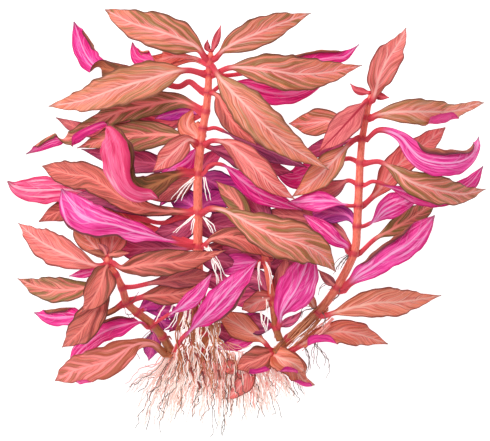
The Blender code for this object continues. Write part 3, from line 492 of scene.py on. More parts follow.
LEAVES: tuple[Leaf, ...] = (
    Leaf("leaf_top_left", "stem_middle", 1, 18.5, 0.08, 0.42, Look.VEINED,
         ((-23.5, 86, 50), (-31, 90, 52), (-42, 94, 52), (-56, 98.4, 44), (-70, 105.5, 31)), (0, -6, 8),
         14, (), (0.1, 0.6, 0.92, 1.0, 0.98, 0.92, 0.82, 0.68, 0.5, 0.3, 0.0)),
    Leaf("leaf_top_right", "stem_middle", 1, 15, 0.08, 0.38, Look.VEINED,
         ((-11, 84.7, 50), (-4, 89, 52), (5, 92.8, 51), (17, 98, 45), (33, 103.8, 33)), (0, 5, 0), 14),
    Leaf("leaf_front_large", "stem_middle", 2, 18.5, 0.08, 0.42, Look.ORANGE,
         ((-11, 69, 57), (-1, 58.5, 65), (9.5, 47.5, 67), (23, 36.5, 63), (41.8, 25.3, 56)), (0, 0), 15),
    Leaf("leaf_shoulder_left", "stem_middle", 3, 18.8, 0.13, 0.4, Look.ORANGE,
         ((-22.5, 73.6, 48), (-28, 74.8, 50), (-36, 73.8, 53), (-50, 69.8, 55), (-64, 65.8, 50),
         (-81, 60, 38), (-98.5, 57.3, 22)), (0, -8, 0), 13, (), (0.08, 0.62, 0.92, 1.0, 1.0, 0.95, 0.85,
         0.72, 0.56, 0.38, 0.22, 0.0)),
    Leaf("leaf_shoulder_right", "stem_middle", 3, 18, 0.12, 0.4, Look.VEINED,
         ((-8, 76, 50), (2, 76, 53), (12, 75, 54), (25, 73, 50), (40, 73.8, 43), (58.5, 77.7, 29)),
         (0, 8, 0), 13),
    Leaf("leaf_under_right", "stem_middle", 4, 12, 0.2, 0.42, Look.HOT,
         ((-10, 68.5, 38), (0, 67.8, 34), (10, 64.5, 31), (20, 63.5, 30), (31, 65.5, 28), (42, 71, 22)),
         (100, 170, 180, 180), 12),
    Leaf("leaf_wavy_right", "stem_middle", 3, 9, 0.2, 0.55, Look.HOT,
         ((-8, 72.5, 40), (8, 75, 37), (22, 77.5, 36), (34, 80, 33), (44, 81.6, 30), (50, 82.4, 27),
         (57.2, 88.3, 22)), (180, 180), 12, (Curl(-1, 0.30, 0.96, (1.0,)),)),
    Leaf("leaf_fourth_left", "stem_middle", 4, 12.5, 0.26, 0.6, Look.HOT,
         ((-24, 66.5, 44), (-28, 69.2, 43), (-34, 66.8, 41), (-46, 70.5, 38), (-58, 73.5, 34),
         (-65, 75, 30), (-71, 76.2, 26), (-76.6, 79, 19), (-80.6, 84.6, 13), (-83.2, 91, 7),
         (-84.9, 96, 3), (-86.3, 100.3, 0.42)), (0, 0, 0, 0, 0, 0, 0, 0, 0, 0, 0, 0, 10, 165, 180, 180,
         180, 180, 180, 180, 180), 12, (Curl(1, 0.70, 0.97, (1.3,)),), (0.2, 0.3, 0.5, 0.62, 0.66, 0.7,
         0.78, 0.84, 0.84, 0.74, 0.46, 0.0)),
    Leaf("leaf_fifth_left", "stem_middle", 5, 12, 0.05, 0.42, Look.OLIVE,
         ((-26, 57.3, 43), (-33, 59.6, 41), (-42, 59, 38), (-52, 57, 34), (-62, 54.8, 30),
         (-70, 51.6, 26), (-76, 48.4, 22), (-81.4, 45.2, 18), (-86.8, 41.8, 14), (-91.4, 41, 10),
         (-97.7, 39.6, 6), (-104, 36.6, 3), (-110.5, 33.5, 0.48)), (0, 0, 0, 0, 0, 0, 0, 0, 0, 0, 0, 0,
         0, -160, -180, -180, -180), 13, (Curl(-1, 0.47, 0.745, (2.0, 3.6, 4.4, 4.4), 0.16),
         Curl(1, 0.78, 0.97, (1.4,)),), (0.3, 0.7, 0.95, 1.0, 1.0, 0.9, 0.66, 0.62, 0.6, 0.56, 0.52,
         0.36, 0.0)),
    Leaf("leaf_sixth_left", "stem_middle", 7, 15.5, 0.12, 0.4, Look.OLIVE,
         ((-31, 42, 38), (-41, 43, 34), (-55, 42.5, 28), (-69, 41, 20), (-84.5, 36.5, 9)), (0, 0), 12),
    Leaf("leaf_hanging", "stem_middle", 7, 12, 0.1, 0.45, Look.CORAL,
         ((-28.5, 40, 50), (-36, 33.5, 53), (-46, 24.5, 47)), (0, 0), 12),
    Leaf("leaf_sixth_right", "stem_middle", 7, 13.5, 0.14, 0.45, Look.CORAL,
         ((-16, 39.8, 48), (-9, 38.5, 52), (-2, 33.5, 55), (6, 25.5, 58), (14, 17.5, 57),
         (25, 10.5, 51)), (0, 0), 13),
    Leaf("leaf_dark_right", "stem_middle", 6, 11, 0.14, 0.5, Look.MAROON,
         ((-14, 46, 42), (-3, 41, 41), (14, 34, 40), (31, 26.5, 35)), (60, 170, 180), 10),
    Leaf("leaf_seventh_left", "stem_middle", 8, 17, 0.08, 0.6, Look.ROSE,
         ((-31, 23.5, 46), (-37.5, 21.4, 49), (-44, 18.2, 53), (-50.5, 15.8, 57), (-57, 16.8, 60),
         (-61.3, 22.6, 60), (-62.9, 30.2, 58.5), (-63.8, 36.5, 55.5), (-65.4, 42.5, 51),
         (-68.5, 48.8, 44)), (0, 0), 12,
         (Curl(-1, 0.30, 0.985, (5.0, 6.0, 7.5, 10, 13, 15, 13.5, 9, 4, 0.4), 0.1),), (0.2, 0.35, 0.55,
         0.72, 0.74, 0.7, 0.74, 0.88, 1.0, 0.92, 0.62, 0.28, 0.0)),
    Leaf("leaf_seventh_right", "stem_middle", 8, 11, 0.2, 0.45, Look.HOT,
         ((-17, 27.8, 45), (-10, 27.3, 45), (-2, 20.5, 43.5), (9, 13, 40.5), (29, 5, 33.5)),
         (40, 150, 180, 180), 12),
    Leaf("leaf_eighth_left", "stem_middle", 9, 14, 0.04, 0.5, Look.BROWN,
         ((-34, 4.6, 42), (-45, 5.2, 41), (-55, 7.4, 40), (-63, 12.2, 38), (-71, 17.8, 35),
         (-79, 22, 30), (-88, 23.2, 22), (-102, 27.4, 8)), (0, 0), 12, (), (0.2, 0.3, 0.42, 0.58, 0.72,
         0.86, 0.96, 1.0, 1.0, 0.86, 0.56, 0.0)),
    Leaf("leaf_eighth_right", "stem_middle", 9, 20.5, 0.12, 0.55, Look.VEINED,
         ((-16.5, 6, 50), (-8, 4, 56), (4, -2.5, 63), (16, -7.8, 66), (28, -11.5, 64), (38, -17, 57),
         (45.3, -25.6, 49)), (0, 0), 14),
    Leaf("leaf_pink_far_left", "stem_middle", 9, 13.7, 0.42, 0.48, Look.ROSE,
         ((-40, -1, 30), (-50, 0.5, 28), (-62, 6, 26), (-76, 12.5, 22), (-88, 15.4, 16),
         (-100, 15.4, 10), (-110, 15.6, 5), (-116, 17, 2.5), (-119.8, 19.8, 0.48)), (0, 170, 180, 180),
         10, (), (0.3, 0.5, 0.62, 0.7, 0.78, 0.88, 1.0, 1.0, 0.88, 0.58, 0.0)),
    Leaf("leaf_brown_low_left", "stem_middle", 10, 13, 0.3, 0.48, Look.BROWN,
         ((-42, -6, 26), (-60, 0.5, 18), (-76, 5, 11), (-87, 5.6, 5), (-95, 4, 2), (-104, -0.6, 0.45)),
         (0, 0), 6, (), (0.3, 0.6, 0.8, 0.9, 1.0, 1.0, 0.92, 0.6, 0.0)),
    Leaf("leaf_pink_broad", "stem_middle", 10, 17, 0.12, 0.5, Look.PINK,
         ((-35, -11.2, 43), (-45, -8, 47), (-55, -5.4, 50), (-65, -2.2, 52), (-74, -0.5, 52),
         (-82, 3, 47), (-88, 9.5, 41), (-91.7, 15.8, 35)), (60, 165, 180, 180), 12,
         (Curl(-1, 0.34, 0.92, (0.6,)),), (0.15, 0.2, 0.34, 0.62, 0.58, 0.66, 0.86, 1.0, 1.0, 0.86, 0.55,
         0.0)),
    Leaf("leaf_ninth_right", "stem_middle", 10, 11.5, 0.08, 0.42, Look.BROWN,
         ((-16, -9, 43), (-6, -8.3, 45), (8, -13, 45), (22, -20.5, 41)), (0, 0), 12),
    Leaf("leaf_crest", "stem_right", 1, 14.6, 0.06, 0.4, Look.CORAL,
         ((65, 64, 48), (66.4, 70, 52), (69.8, 78, 53), (74.4, 85.2, 48), (78.4, 91.3, 40),
         (80.6, 96.5, 33)), (0, 0), 14, (), (0.15, 0.52, 0.84, 1.0, 0.98, 0.82, 0.58, 0.36, 0.2, 0.0)),
    Leaf("leaf_coral_front", "stem_right", 1, 13.5, 0.05, 0.45, Look.CRIMSON_RIB,
         ((57, 55.5, 49.5), (51.5, 49.5, 54), (45, 42.5, 55), (36.8, 34.3, 50)), (0, 0), 10),
    Leaf("leaf_olive_left", "stem_right", 2, 13.5, 0.1, 0.55, Look.VEINED,
         ((50, 49.5, 40), (40, 49.5, 38), (31, 48.5, 36), (22, 48.5, 32)), (0, 0), 12),
    Leaf("leaf_brown_right", "stem_right", 2, 12.8, 0.05, 0.34, Look.ORANGE,
         ((66, 52.6, 45), (74, 54, 45), (84, 54.4, 42), (95, 54.4, 32), (103, 54.6, 24), (110, 56.4, 14),
         (116, 58.6, 8), (120.5, 59.4, 0.35)), (0, 0), 12,
         (Curl(1, 0.31, 0.70, (1.0, 3.4, 4.6, 4.0, 1.2), 0.26),), (0.2, 0.66, 1.0, 1.0, 0.96, 0.84, 0.62,
         0.46, 0.38, 0.25, 0.0)),
    Leaf("leaf_twisted_right", "stem_right", 3, 13.5, 0.14, 0.42, Look.PINK,
         ((66, 44.8, 47), (72, 44.5, 49), (78, 41.2, 51), (82.5, 35.8, 52), (88, 31, 53), (96, 28.8, 53),
         (104, 28.8, 50), (109.6, 30.3, 44), (113.4, 33, 38), (116, 37, 31), (117.2, 42, 22)),
         (120, 165, 180, 180, 180, 180), 12, (Curl(-1, 0.2, 0.985, (1.6, 2.2, 2.6, 1.6, 2.2, 1.6)),),
         (0.25, 0.36, 0.62, 0.84, 0.97, 1.0, 0.86, 0.56, 0.36, 0.24, 0.0)),
    Leaf("leaf_orange_left", "stem_right", 3, 13.5, 0.14, 0.45, Look.ORANGE,
         ((52, 38, 44), (47, 33, 45), (40, 25.5, 45), (32, 18, 44), (23.3, 11.7, 42)), (0, 0), 12),
    Leaf("leaf_olive_right", "stem_right", 4, 14.3, 0.14, 0.42, Look.VEINED,
         ((67, 29.3, 45), (74, 25.5, 47), (82, 19.8, 47), (91, 16.5, 44), (101, 14.3, 36),
         (110, 13.3, 26), (121, 15.8, 12)), (0, 0), 13),
    Leaf("leaf_magenta_right", "stem_right", 5, 11.5, 0.14, 0.36, Look.HOT,
         ((64.5, 19.5, 40), (74, 16.5, 39), (88, 12.5, 35), (103, 13, 26), (113, 18.6, 18),
         (119.8, 27.3, 10)), (60, 175, 180), 12, (), (0.3, 0.8, 1.0, 1.0, 0.95, 0.9, 0.76, 0.5, 0.0)),
    Leaf("leaf_coral_behind", "stem_right", 6, 13.5, 0.12, 0.42, Look.CORAL,
         ((63, 11, 34), (69, 17.5, 31), (75, 26, 27), (82.5, 33, 22), (91.5, 39.2, 16),
         (100.8, 46.8, 9)), (0, 0), 12, (), (0.15, 0.5, 0.85, 1.0, 1.0, 0.95, 0.85, 0.74, 0.5, 0.0)),
    Leaf("leaf_pink_inner", "stem_right", 6, 10.5, 0.1, 0.5, Look.PINK,
         ((51, 7.5, 41), (44, 9.5, 44), (36, 9.8, 44), (28, 9.2, 41), (21.5, 9.5, 38.5)), (90, 170, 180),
         12),
    Leaf("leaf_pink_middle", "stem_right", 7, 12.5, 0.1, 0.4, Look.PINK,
         ((64.5, 0, 38), (70, 5.3, 37), (78, 9, 33), (90, 12.7, 24)), (90, 175, 180), 10),
    Leaf("leaf_brown_middle", "stem_right", 8, 11.5, 0.2, 0.5, Look.OLIVE,
         ((65, -9.3, 33), (74.5, -4, 27), (85, 2, 18), (97.5, 11, 7)), (0, 0), 10),
    Leaf("leaf_magenta_inner", "stem_right", 8, 9, 0.08, 0.45, Look.HOT,
         ((50.5, -12.5, 39), (46, -10, 41), (42, -6.5, 41), (36, -1.8, 38), (29, 3, 34)),
         (150, 178, 180), 10, (), (0.35, 0.62, 0.9, 1.0, 0.8, 0.5, 0.0)),
    Leaf("leaf_pink_low_right", "stem_right", 9, 13, 0.1, 0.5, Look.PINK,
         ((52, -31.5, 34), (57.5, -27.2, 37), (63, -24, 39), (68, -20.5, 39), (72.5, -17.2, 39),
         (77.5, -14.4, 38), (82.5, -11, 34), (88, -5.5, 27), (95.3, 2.5, 15)), (170, 180, 180, 180), 10,
         (Curl(-1, 0.1, 0.9, (1.6, 1.2, 1.6, 0.9, 0.7)),),
         (0.3, 0.66, 0.8, 0.95, 1.0, 1.0, 0.94, 0.78, 0.48, 0.0)),
    Leaf("leaf_coral_low_right", "stem_right", 10, 15, 0.08, 0.42, Look.RUST,
         ((45.5, -46, 31), (55, -43.3, 31), (66, -41.2, 27), (76, -41, 20), (87, -39.8, 9),
         (99, -37.8, 0.4)), (0, 0), 12),
    Leaf("leaf_low_twist_right", "stem_right", 12, 12.6, 0.2, 0.45, Look.RUST,
         ((22, -66, 20), (29, -61.8, 21), (36, -57.8, 22), (46, -55.8, 20), (55, -56.7, 14),
         (63, -59, 6), (72, -62.3, 0.42)), (0, 0), 10, (Curl(1, 0.2, 0.52, (1.5, 4.0, 3.5, 1.5)),),
         (0.25, 0.36, 0.56, 0.75, 0.95, 1.0, 1.0, 0.85, 0.6, 0.3, 0.0)),
    Leaf("leaf_low_middle", "stem_right", 12, 13.5, 0.16, 0.5, Look.RUST,
         ((9, -60.5, 20), (-2.5, -53, 23), (-14.5, -45.8, 22)), (0, 0), 10),
    Leaf("leaf_curled_left", "stem_right", 12, 14, 0.05, 0.5, Look.BROWN,
         ((10.5, -68, 22), (5.5, -70.3, 23.5), (0.5, -72, 23), (-4, -74.8, 20)), (0, 0), 10,
         (Curl(-1, 0.2, 0.8, (2.4,)),), (0.3, 0.85, 1.0, 0.95, 0.75, 0.4, 0.0)),
    Leaf("leaf_crown_left", "stem_left", 1, 16, 0.06, 0.42, Look.CORAL,
         ((-76, -22.2, 46), (-85, -18.8, 46), (-95, -14.5, 39), (-104.5, -9, 27), (-114, -1.3, 12)),
         (0, 0), 13),
    Leaf("leaf_crown_right", "stem_left", 1, 13.3, 0.06, 0.4, Look.BROWN,
         ((-61, -23.7, 47), (-52, -22.2, 51), (-38, -20.8, 52), (-24, -19, 50), (-9.5, -14.8, 47)),
         (0, 0), 12),
    Leaf("leaf_crown_front", "stem_left", 1, 14.5, 0.05, 0.45, Look.BROWN,
         ((-70, -25, 52), (-71.5, -31, 56), (-75, -38, 56), (-81, -45.5, 50)), (0, 0), 12),
    Leaf("leaf_front_low", "stem_left", 2, 14.5, 0.06, 0.5, Look.BROWN,
         ((-68, -32, 46), (-71, -39, 47), (-76, -47, 46), (-82.5, -55.5, 40), (-91.7, -63.6, 27)),
         (0, 0), 13),
    Leaf("leaf_olive_low_left", "stem_left", 2, 13, 0.12, 0.48, Look.OLIVE,
         ((-73, -31, 36), (-82, -34, 32), (-93, -34.8, 23), (-104, -33.5, 12), (-114.7, -29.3, 0.35)),
         (0, 0), 12),
    Leaf("leaf_brown_inner", "stem_left", 4, 10.5, 0.16, 0.45, Look.BROWN,
         ((-54, -39, 37), (-47.5, -37.6, 37), (-37, -37, 36), (-27, -35.6, 38), (-19.5, -34, 38.5)),
         (0, 0), 10, (), (0.2, 0.6, 0.95, 1.0, 1.0, 0.95, 0.85, 0.5, 0.0)),
    Leaf("leaf_thin_pink", "stem_left", 4, 9, 0.04, 0.5, Look.HOT,
         ((-68, -46, 31), (-78, -48, 27), (-89, -48.3, 18), (-98, -48.8, 9), (-106.3, -46.5, 0.4)),
         (0, 0, 0, 120, 178, 180, 180, 180), 10, (Curl(1, 0.46, 0.95, (1.8,)),),
         (0.3, 0.36, 0.4, 0.6, 0.9, 1.0, 0.95, 0.6, 0.0)),
    Leaf("leaf_hotpink_low", "stem_left", 6, 10.5, 0.06, 0.4, Look.HOT,
         ((-52.5, -51, 33), (-60.5, -52.4, 34), (-68.5, -54.8, 30), (-75, -58.6, 23), (-82, -64.4, 14),
         (-88.4, -71.5, 5)), (60, 175, 180, 180), 10, (Curl(1, 0.08, 0.50, (1.4,)),),
         (0.2, 0.75, 1.0, 1.0, 0.9, 0.86, 0.88, 0.84, 0.6, 0.0)),
    Leaf("leaf_coral_low_left", "stem_left", 8, 16, 0.1, 0.42, Look.NET,
         ((-46, -62, 27), (-53, -61.6, 31), (-60, -65, 34), (-68, -70, 34), (-77, -72.8, 29),
         (-86, -75.5, 18), (-95.7, -80.7, 4)), (0, 0), 12, (Curl(-1, 0.58, 0.80, (1.4,)),), (0.22, 0.24,
         0.42, 0.86, 1.0, 1.0, 0.95, 0.86, 0.7, 0.42, 0.0)),
    Leaf("leaf_pink_rising", "stem_left", 6, 8, 0.25, 0.5, Look.PINK,
         ((-39, -47.5, 36), (-32, -43.5, 42), (-25, -38, 44), (-20.5, -32.5, 44), (-16.5, -26.3, 42)),
         (60, 170, 180), 10),
    Leaf("leaf_pink_large", "stem_left", 8, 14.5, 0.22, 0.5, Look.PINK,
         ((-31, -58.5, 30), (-23, -51, 38), (-15, -43.5, 45), (-6, -33.5, 50), (6.3, -19.8, 50)),
         (60, 170, 180), 10, (Curl(1, 0.30, 0.95, (0.9,)),)),
    Leaf("leaf_brown_rising", "stem_short", 1, 10.5, 0.25, 0.45, Look.OLIVE,
         ((2.5, -4, 38.5), (-0.5, 4, 39), (-6.5, 11.5, 38), (-14.5, 19.8, 35)), (0, 0), 10),
    Leaf("leaf_magenta_large", "stem_short", 4, 19, 0.1, 0.5, Look.PINK,
         ((18, -46.5, 36), (21, -41, 41), (25, -35, 44), (28.5, -28, 44), (31, -21, 42), (33, -13, 38)),
         (120, 175, 180, 180), 8),
    Leaf("leaf_lowest", "stem_creeping", 2, 11.5, 0.1, 0.5, Look.CORAL,
         ((0.5, -76.6, 16), (-0.6, -80, 15), (-4, -85, 12), (-9.4, -90, 8)), (0, 0), 10, (),
         (0.6, 1.0, 1.0, 0.76, 0.42, 0.0)),
    Leaf("leaf_curled_right", "stem_creeping", 3, 13, 0.05, 0.42, Look.RUST,
         ((18, -69.5, 19), (21.5, -71, 20), (25.5, -74.5, 18), (29.5, -80.5, 12), (35, -82.8, 7)),
         (0, 0, 30), 12, (Curl(1, 0.50, 0.98, (1.8,)),), (0.3, 0.9, 1.0, 0.92, 0.64, 0.4, 0.32, 0.0)),
)

LESSER_LEAVES: tuple[Leaf, ...] = (
    Leaf("bud_top_tall", "stem_middle", 0, 4, 0.1, 0.4, Look.BUD,
         ((-15.8, 86, 49), (-14, 91, 50), (-12, 97.3, 48)), (0, 0), 14),
    Leaf("bud_top_short", "stem_middle", 0, 3.2, 0.1, 0.4, Look.BUD,
         ((-18.8, 86.3, 49.5), (-18.7, 90, 52)), (0, 0), 14),
    Leaf("lesser_top_back", "stem_middle", 2, 11, 0.16, 0.5, Look.RUST,
         ((-25, 81, 40), (-35, 82, 36), (-43, 80.6, 32), (-48.5, 80, 30), (-53.2, 81.6, 28),
         (-55.6, 85.2, 27), (-56.4, 89.3, 27)), (0, 0, 0, 0, 0, 0, -60, -178, -180, -180, -180), 14,
         (Curl(1, 0.66, 0.95, (1.0,)),), (0.1, 0.1, 0.3, 0.56, 0.7, 0.84, 0.98, 0.9, 0.7, 0.4, 0.0)),
    Leaf("lesser_brown_front", "stem_middle", 4, 11, 0.1, 0.45, Look.BROWN,
         ((-13.5, 62, 50), (-10, 55, 55), (-4, 46.5, 58), (6, 37.5, 58)), (0, 0), 8),
    Leaf("lesser_back_left", "stem_middle", 5, 11, 0.2, 0.5, Look.MAROON,
         ((-30, 50, 30), (-52, 48, 18), (-72, 45.5, 7), (-84, 46.5, 3), (-95.3, 51.9, 0.45)), (0, 0), 6,
         (), (0.3, 0.7, 0.95, 1.0, 0.95, 0.85, 0.75, 0.66, 0.5, 0.0)),
    Leaf("lesser_coral_left", "stem_middle", 7, 12.5, 0.05, 0.5, Look.RUST,
         ((-24.5, 42.5, 40), (-29, 48, 39), (-25.6, 56.2, 38)), (0, 0), 10, (),
         (0.5, 0.95, 1.0, 0.75, 0.4, 0.0)),
    Leaf("lesser_behind_low", "stem_middle", 7, 10, 0.1, 0.45, Look.MAGENTA,
         ((-28, 30, 34), (-37, 24.5, 27), (-45, 20, 20)), (180, 180), 14),
    Leaf("lesser_behind_high", "stem_middle", 8, 8, 0.1, 0.45, Look.MAGENTA,
         ((-18, 30, 34), (-10, 35.5, 31)), (0, 0), 14),
    Leaf("lesser_deep_right", "stem_middle", 8, 14, 0.1, 0.36, Look.PURPLE,
         ((-16, 19, 29), (-8, 16, 24), (4, 13, 18)), (0, 0), 8),
    Leaf("lesser_deep_left_high", "stem_middle", 8, 11, 0.1, 0.45, Look.PURPLE,
         ((-31, 19, 30), (-38, 13, 25), (-43, 7, 20)), (0, 0), 8),
    Leaf("lesser_maroon_left", "stem_middle", 8, 12, 0.2, 0.5, Look.DEEP,
         ((-42, 28, 20), (-62, 31, 10), (-82.5, 36, 1.2)), (0, 0), 8),
    Leaf("lesser_magenta_behind", "stem_middle", 10, 13, 0.12, 0.6, Look.DEEP,
         ((-29, -14, 35), (-40, -14, 33), (-52, -14, 31), (-66, -14.5, 27)), (0, 0), 8),
    Leaf("lesser_dark_under", "stem_middle", 10, 12, 0.1, 0.45, Look.MAROON,
         ((-12, -15, 23), (4, -19.5, 18), (22, -23, 14)), (0, 0), 8),
    Leaf("lesser_low_magenta", "stem_middle", 14, 7.5, 0.2, 0.5, Look.MAGENTA,
         ((-14, -64, 17), (-4, -61.5, 17.5), (7, -59, 16)), (180, 180), 8),
    Leaf("bud_right_left", "stem_right", 0, 4, 0.1, 0.4, Look.BUD,
         ((56, 65, 46.5), (52.5, 68.2, 46)), (0, 0), 14),
    Leaf("bud_right_right", "stem_right", 0, 4, 0.1, 0.4, Look.BUD,
         ((67.5, 62, 44.5), (72, 61.2, 45)), (0, 0), 14),
    Leaf("lesser_hidden_left", "stem_right", 4, 12, 0.2, 0.6, Look.HOT,
         ((51.5, 31, 36), (43, 28, 31), (33, 24, 27), (24, 21, 24), (15, 24, 22)), (180, 180), 8),
    Leaf("lesser_maroon_inner", "stem_right", 5, 9.5, 0.2, 0.45, Look.MAROON,
         ((51.5, 20, 38), (45, 16.5, 36), (36, 13.5, 33), (28, 11, 30)), (0, 0), 14),
    Leaf("lesser_purple_inner", "stem_right", 7, 10.5, 0.05, 0.45, Look.PURPLE,
         ((51.5, 2.5, 36), (44, 4, 35), (36, 4.5, 32), (28, 3.5, 27)), (0, 0), 14),
    Leaf("lesser_stub_maroon", "stem_right", 9, 5, 0.1, 0.4, Look.MAROON,
         ((41.5, -29.5, 36), (36.5, -24.5, 36)), (0, 0), 14),
    Leaf("lesser_stub_coral", "stem_right", 10, 4.5, 0.1, 0.4, Look.RUST,
         ((32.5, -39, 32), (29, -33.5, 33)), (0, 0), 14),
    Leaf("lesser_crown_up", "stem_left", 1, 14, 0.1, 0.5, Look.CORAL,
         ((-67, -15, 41), (-66, -9, 39), (-65, -1, 35)), (0, 0), 14),
    Leaf("lesser_crown_behind", "stem_left", 1, 12, 0.1, 0.5, Look.ORANGE,
         ((-75, -13, 38), (-80.5, -7, 34), (-85, 0.5, 28)), (0, 0), 14),
    Leaf("bud_left_pink", "stem_left", 0, 4, 0.1, 0.4, Look.PINK,
         ((-73, -16.5, 47), (-78, -15, 47)), (0, 0), 14),
    Leaf("bud_left_magenta", "stem_left", 0, 4, 0.1, 0.4, Look.MAROON,
         ((-70.5, -14, 46), (-73.5, -11.3, 46)), (0, 0), 14),
    Leaf("bud_left_right", "stem_left", 0, 4, 0.1, 0.4, Look.BROWN,
         ((-63, -16.5, 47), (-57.5, -16.2, 46)), (0, 0), 14),
    Leaf("lesser_pink_sliver", "stem_left", 1, 5, 0.1, 0.5, Look.HOT,
         ((-74, -24.5, 41), (-81, -26.5, 37.5), (-88, -27.8, 33.5)), (180, 180), 6),
    Leaf("lesser_band", "stem_left", 3, 10.5, 0.3, 0.5, Look.MAROON,
         ((-55, -33, 41), (-46, -31, 42), (-36, -29.4, 40), (-27, -28.5, 38), (-18, -26.5, 36)), (0, 0),
         14, (), (0.12, 0.3, 0.6, 0.9, 1.0, 0.9, 0.7, 0.0)),
    Leaf("lesser_lilac", "stem_left", 5, 8, 0.15, 0.5, Look.PURPLE,
         ((-48, -44.5, 28), (-39, -45.3, 24), (-30, -46, 20)), (0, 0), 14),
    Leaf("lesser_purple_hanging", "stem_left", 6, 9, 0.15, 0.5, Look.PURPLE,
         ((-46, -58, 20), (-47, -64, 12), (-48.5, -70.5, 4)), (0, 0), 14),
    Leaf("lesser_magenta_left", "stem_short", 2, 11, 0.15, 0.45, Look.MAGENTA,
         ((1.5, -21, 31), (-7.5, -22.3, 29), (-18, -25, 26)), (180, 180), 8),
    Leaf("lesser_coral_shoot", "stem_short", 3, 12, 0.1, 0.45, Look.CORAL,
         ((8, -40, 35), (3, -42.5, 35), (-1.5, -44.5, 32)), (0, 0), 8, (),
         (0.5, 0.9, 1.0, 0.6, 0.75, 0.35, 0.0)),
    Leaf("lesser_deep_left", "stem_short", 4, 9, 0.15, 0.45, Look.PURPLE,
         ((8.5, -51, 19), (2, -50, 15), (-5, -47, 12)), (0, 0), 8),
    Leaf("lesser_stub_shoot", "stem_short", 4, 5, 0.1, 0.4, Look.MAGENTA,
         ((21.5, -51, 27), (25.5, -48.7, 27), (28.5, -45.3, 26)), (0, 0), 14),
    Leaf("lesser_purple_left", "stem_middle", 5, 7.5, 0.2, 0.5, Look.PURPLE,
         ((-24, 54, 39), (-31, 54.6, 36), (-38, 53, 34), (-45, 51, 32)), (180, 180), 10),
    # Dark leaves that fill the gaps deep in the bunch; their dark finishes are partly painted shade
    Leaf("deep_left_upper", "stem_middle", 9, 15, 0.1, 0.5, Look.DEEP,
         ((-27, -1, 35), (-34, -4, 31), (-45, -6, 27)), (0, 0), 8),
    Leaf("deep_right_upper", "stem_middle", 9, 15, 0.05, 0.4, Look.DEEP,
         ((-20, -2, 34), (-12, -3, 30), (0, -4, 27), (12, -6, 24)), (0, 0), 8),
    Leaf("deep_right_band", "stem_right", 8, 12, 0.1, 0.5, Look.MAROON,
         ((48, -6, 33), (36, -1, 31), (22, 2, 30), (4, 3.5, 30)), (0, 0), 8),
    Leaf("deep_shoot_right", "stem_short", 1, 12, 0.1, 0.5, Look.DEEP,
         ((10.5, -4, 33), (8, 3, 31), (3.5, 10.5, 29), (0, 17, 27)), (0, 0), 8),
    Leaf("deep_shoot_left", "stem_short", 2, 15, 0.1, 0.5, Look.DEEP,
         ((5, -17, 29), (-4, -14.5, 26), (-14, -13, 22)), (0, 0), 8),
    Leaf("deep_shoot_low", "stem_short", 2, 15, 0.1, 0.5, Look.DEEP,
         ((14, -23, 29), (20, -22, 27), (28, -24, 24)), (0, 0), 8),
    Leaf("deep_shoot_middle", "stem_short", 3, 11, 0.1, 0.5, Look.DEEP,
         ((10, -34, 29), (5, -29, 27), (-3, -26, 24)), (0, 0), 8),
    Leaf("deep_shoot_rim", "stem_short", 3, 9, 0.1, 0.5, Look.MAROON,
         ((16, -34, 30), (19, -27, 31), (21, -18, 31)), (0, 0), 8),
    Leaf("deep_shoot_purple", "stem_short", 4, 11, 0.1, 0.5, Look.DEEP,
         ((11, -52.5, 22), (5, -51.5, 21), (-1, -49, 19)), (0, 0), 8),
    Leaf("deep_low_left", "stem_middle", 12, 12, 0.1, 0.5, Look.DEEP,
         ((-25, -44, 21), (-31, -48, 19), (-38, -56, 16)), (0, 0), 8),
    Leaf("deep_left_purple", "stem_left", 5, 9, 0.1, 0.5, Look.PURPLE,
         ((-50, -43, 29), (-44.5, -40.5, 27), (-38, -41.5, 24)), (0, 0), 8),
    Leaf("deep_left_lilac", "stem_left", 6, 7, 0.1, 0.5, Look.PURPLE,
         ((-43.5, -50, 25), (-40, -52, 23), (-36, -54.5, 20)), (0, 0), 8),
    Leaf("deep_front_dark", "stem_middle", 7, 14, 0.1, 0.5, Look.DEEP,
         ((-16, 36, 38), (-4, 33, 36), (10, 27, 34), (24, 24, 32)), (0, 0), 8),
    Leaf("deep_left_dark", "stem_middle", 8, 13, 0.1, 0.5, Look.MAROON,
         ((-30, 19, 36), (-40, 14.5, 34), (-49, 10.5, 32)), (0, 0), 8),
    Leaf("deep_left_violet", "stem_middle", 9, 13, 0.05, 0.45, Look.PURPLE,
         ((-27, 8, 35), (-33, 11.5, 32), (-41, 14.5, 29)), (0, 0), 8),
    Leaf("deep_right_violet", "stem_middle", 9, 13, 0.05, 0.45, Look.PURPLE,
         ((-19.5, 8.5, 30), (-13, 10, 27), (-4, 10, 23)), (0, 0), 8),
    Leaf("deep_stem_right", "stem_middle", 11, 10, 0.05, 0.45, Look.MAGENTA,
         ((-19.5, -28.5, 30), (-14, -30, 29), (-6, -33, 27)), (0, 0), 8),
    Leaf("deep_shoot_magenta", "stem_short", 3, 12, 0.05, 0.45, Look.MAGENTA,
         ((9, -37, 28), (3, -38.5, 27), (-6, -42.5, 25)), (0, 0), 8),
    Leaf("deep_right_tip", "stem_right", 3, 8.5, 0.1, 0.6, Look.DEEP,
         ((51, 40, 36), (42, 37.5, 34), (34, 34.5, 32), (28, 32, 30)), (0, 0), 8),
    Leaf("deep_stem_left", "stem_middle", 10, 11, 0.1, 0.5, Look.DEEP,
         ((-19.5, -18, 33), (-13, -20, 31), (-4, -22, 29)), (0, 0), 8),
    Leaf("deep_foot", "stem_middle", 13, 10, 0.1, 0.5, Look.DEEP,
         ((-16, -55, 21), (-12, -56, 20), (-5, -58, 18)), (0, 0), 8),
    Leaf("lesser_base_brown", "stem_right", 12, 12, 0.03, 0.45, Look.RUST,
         ((15.5, -68, 23), (19, -69.6, 25), (24, -71.5, 24), (30, -76, 17)), (0, 0), 10,
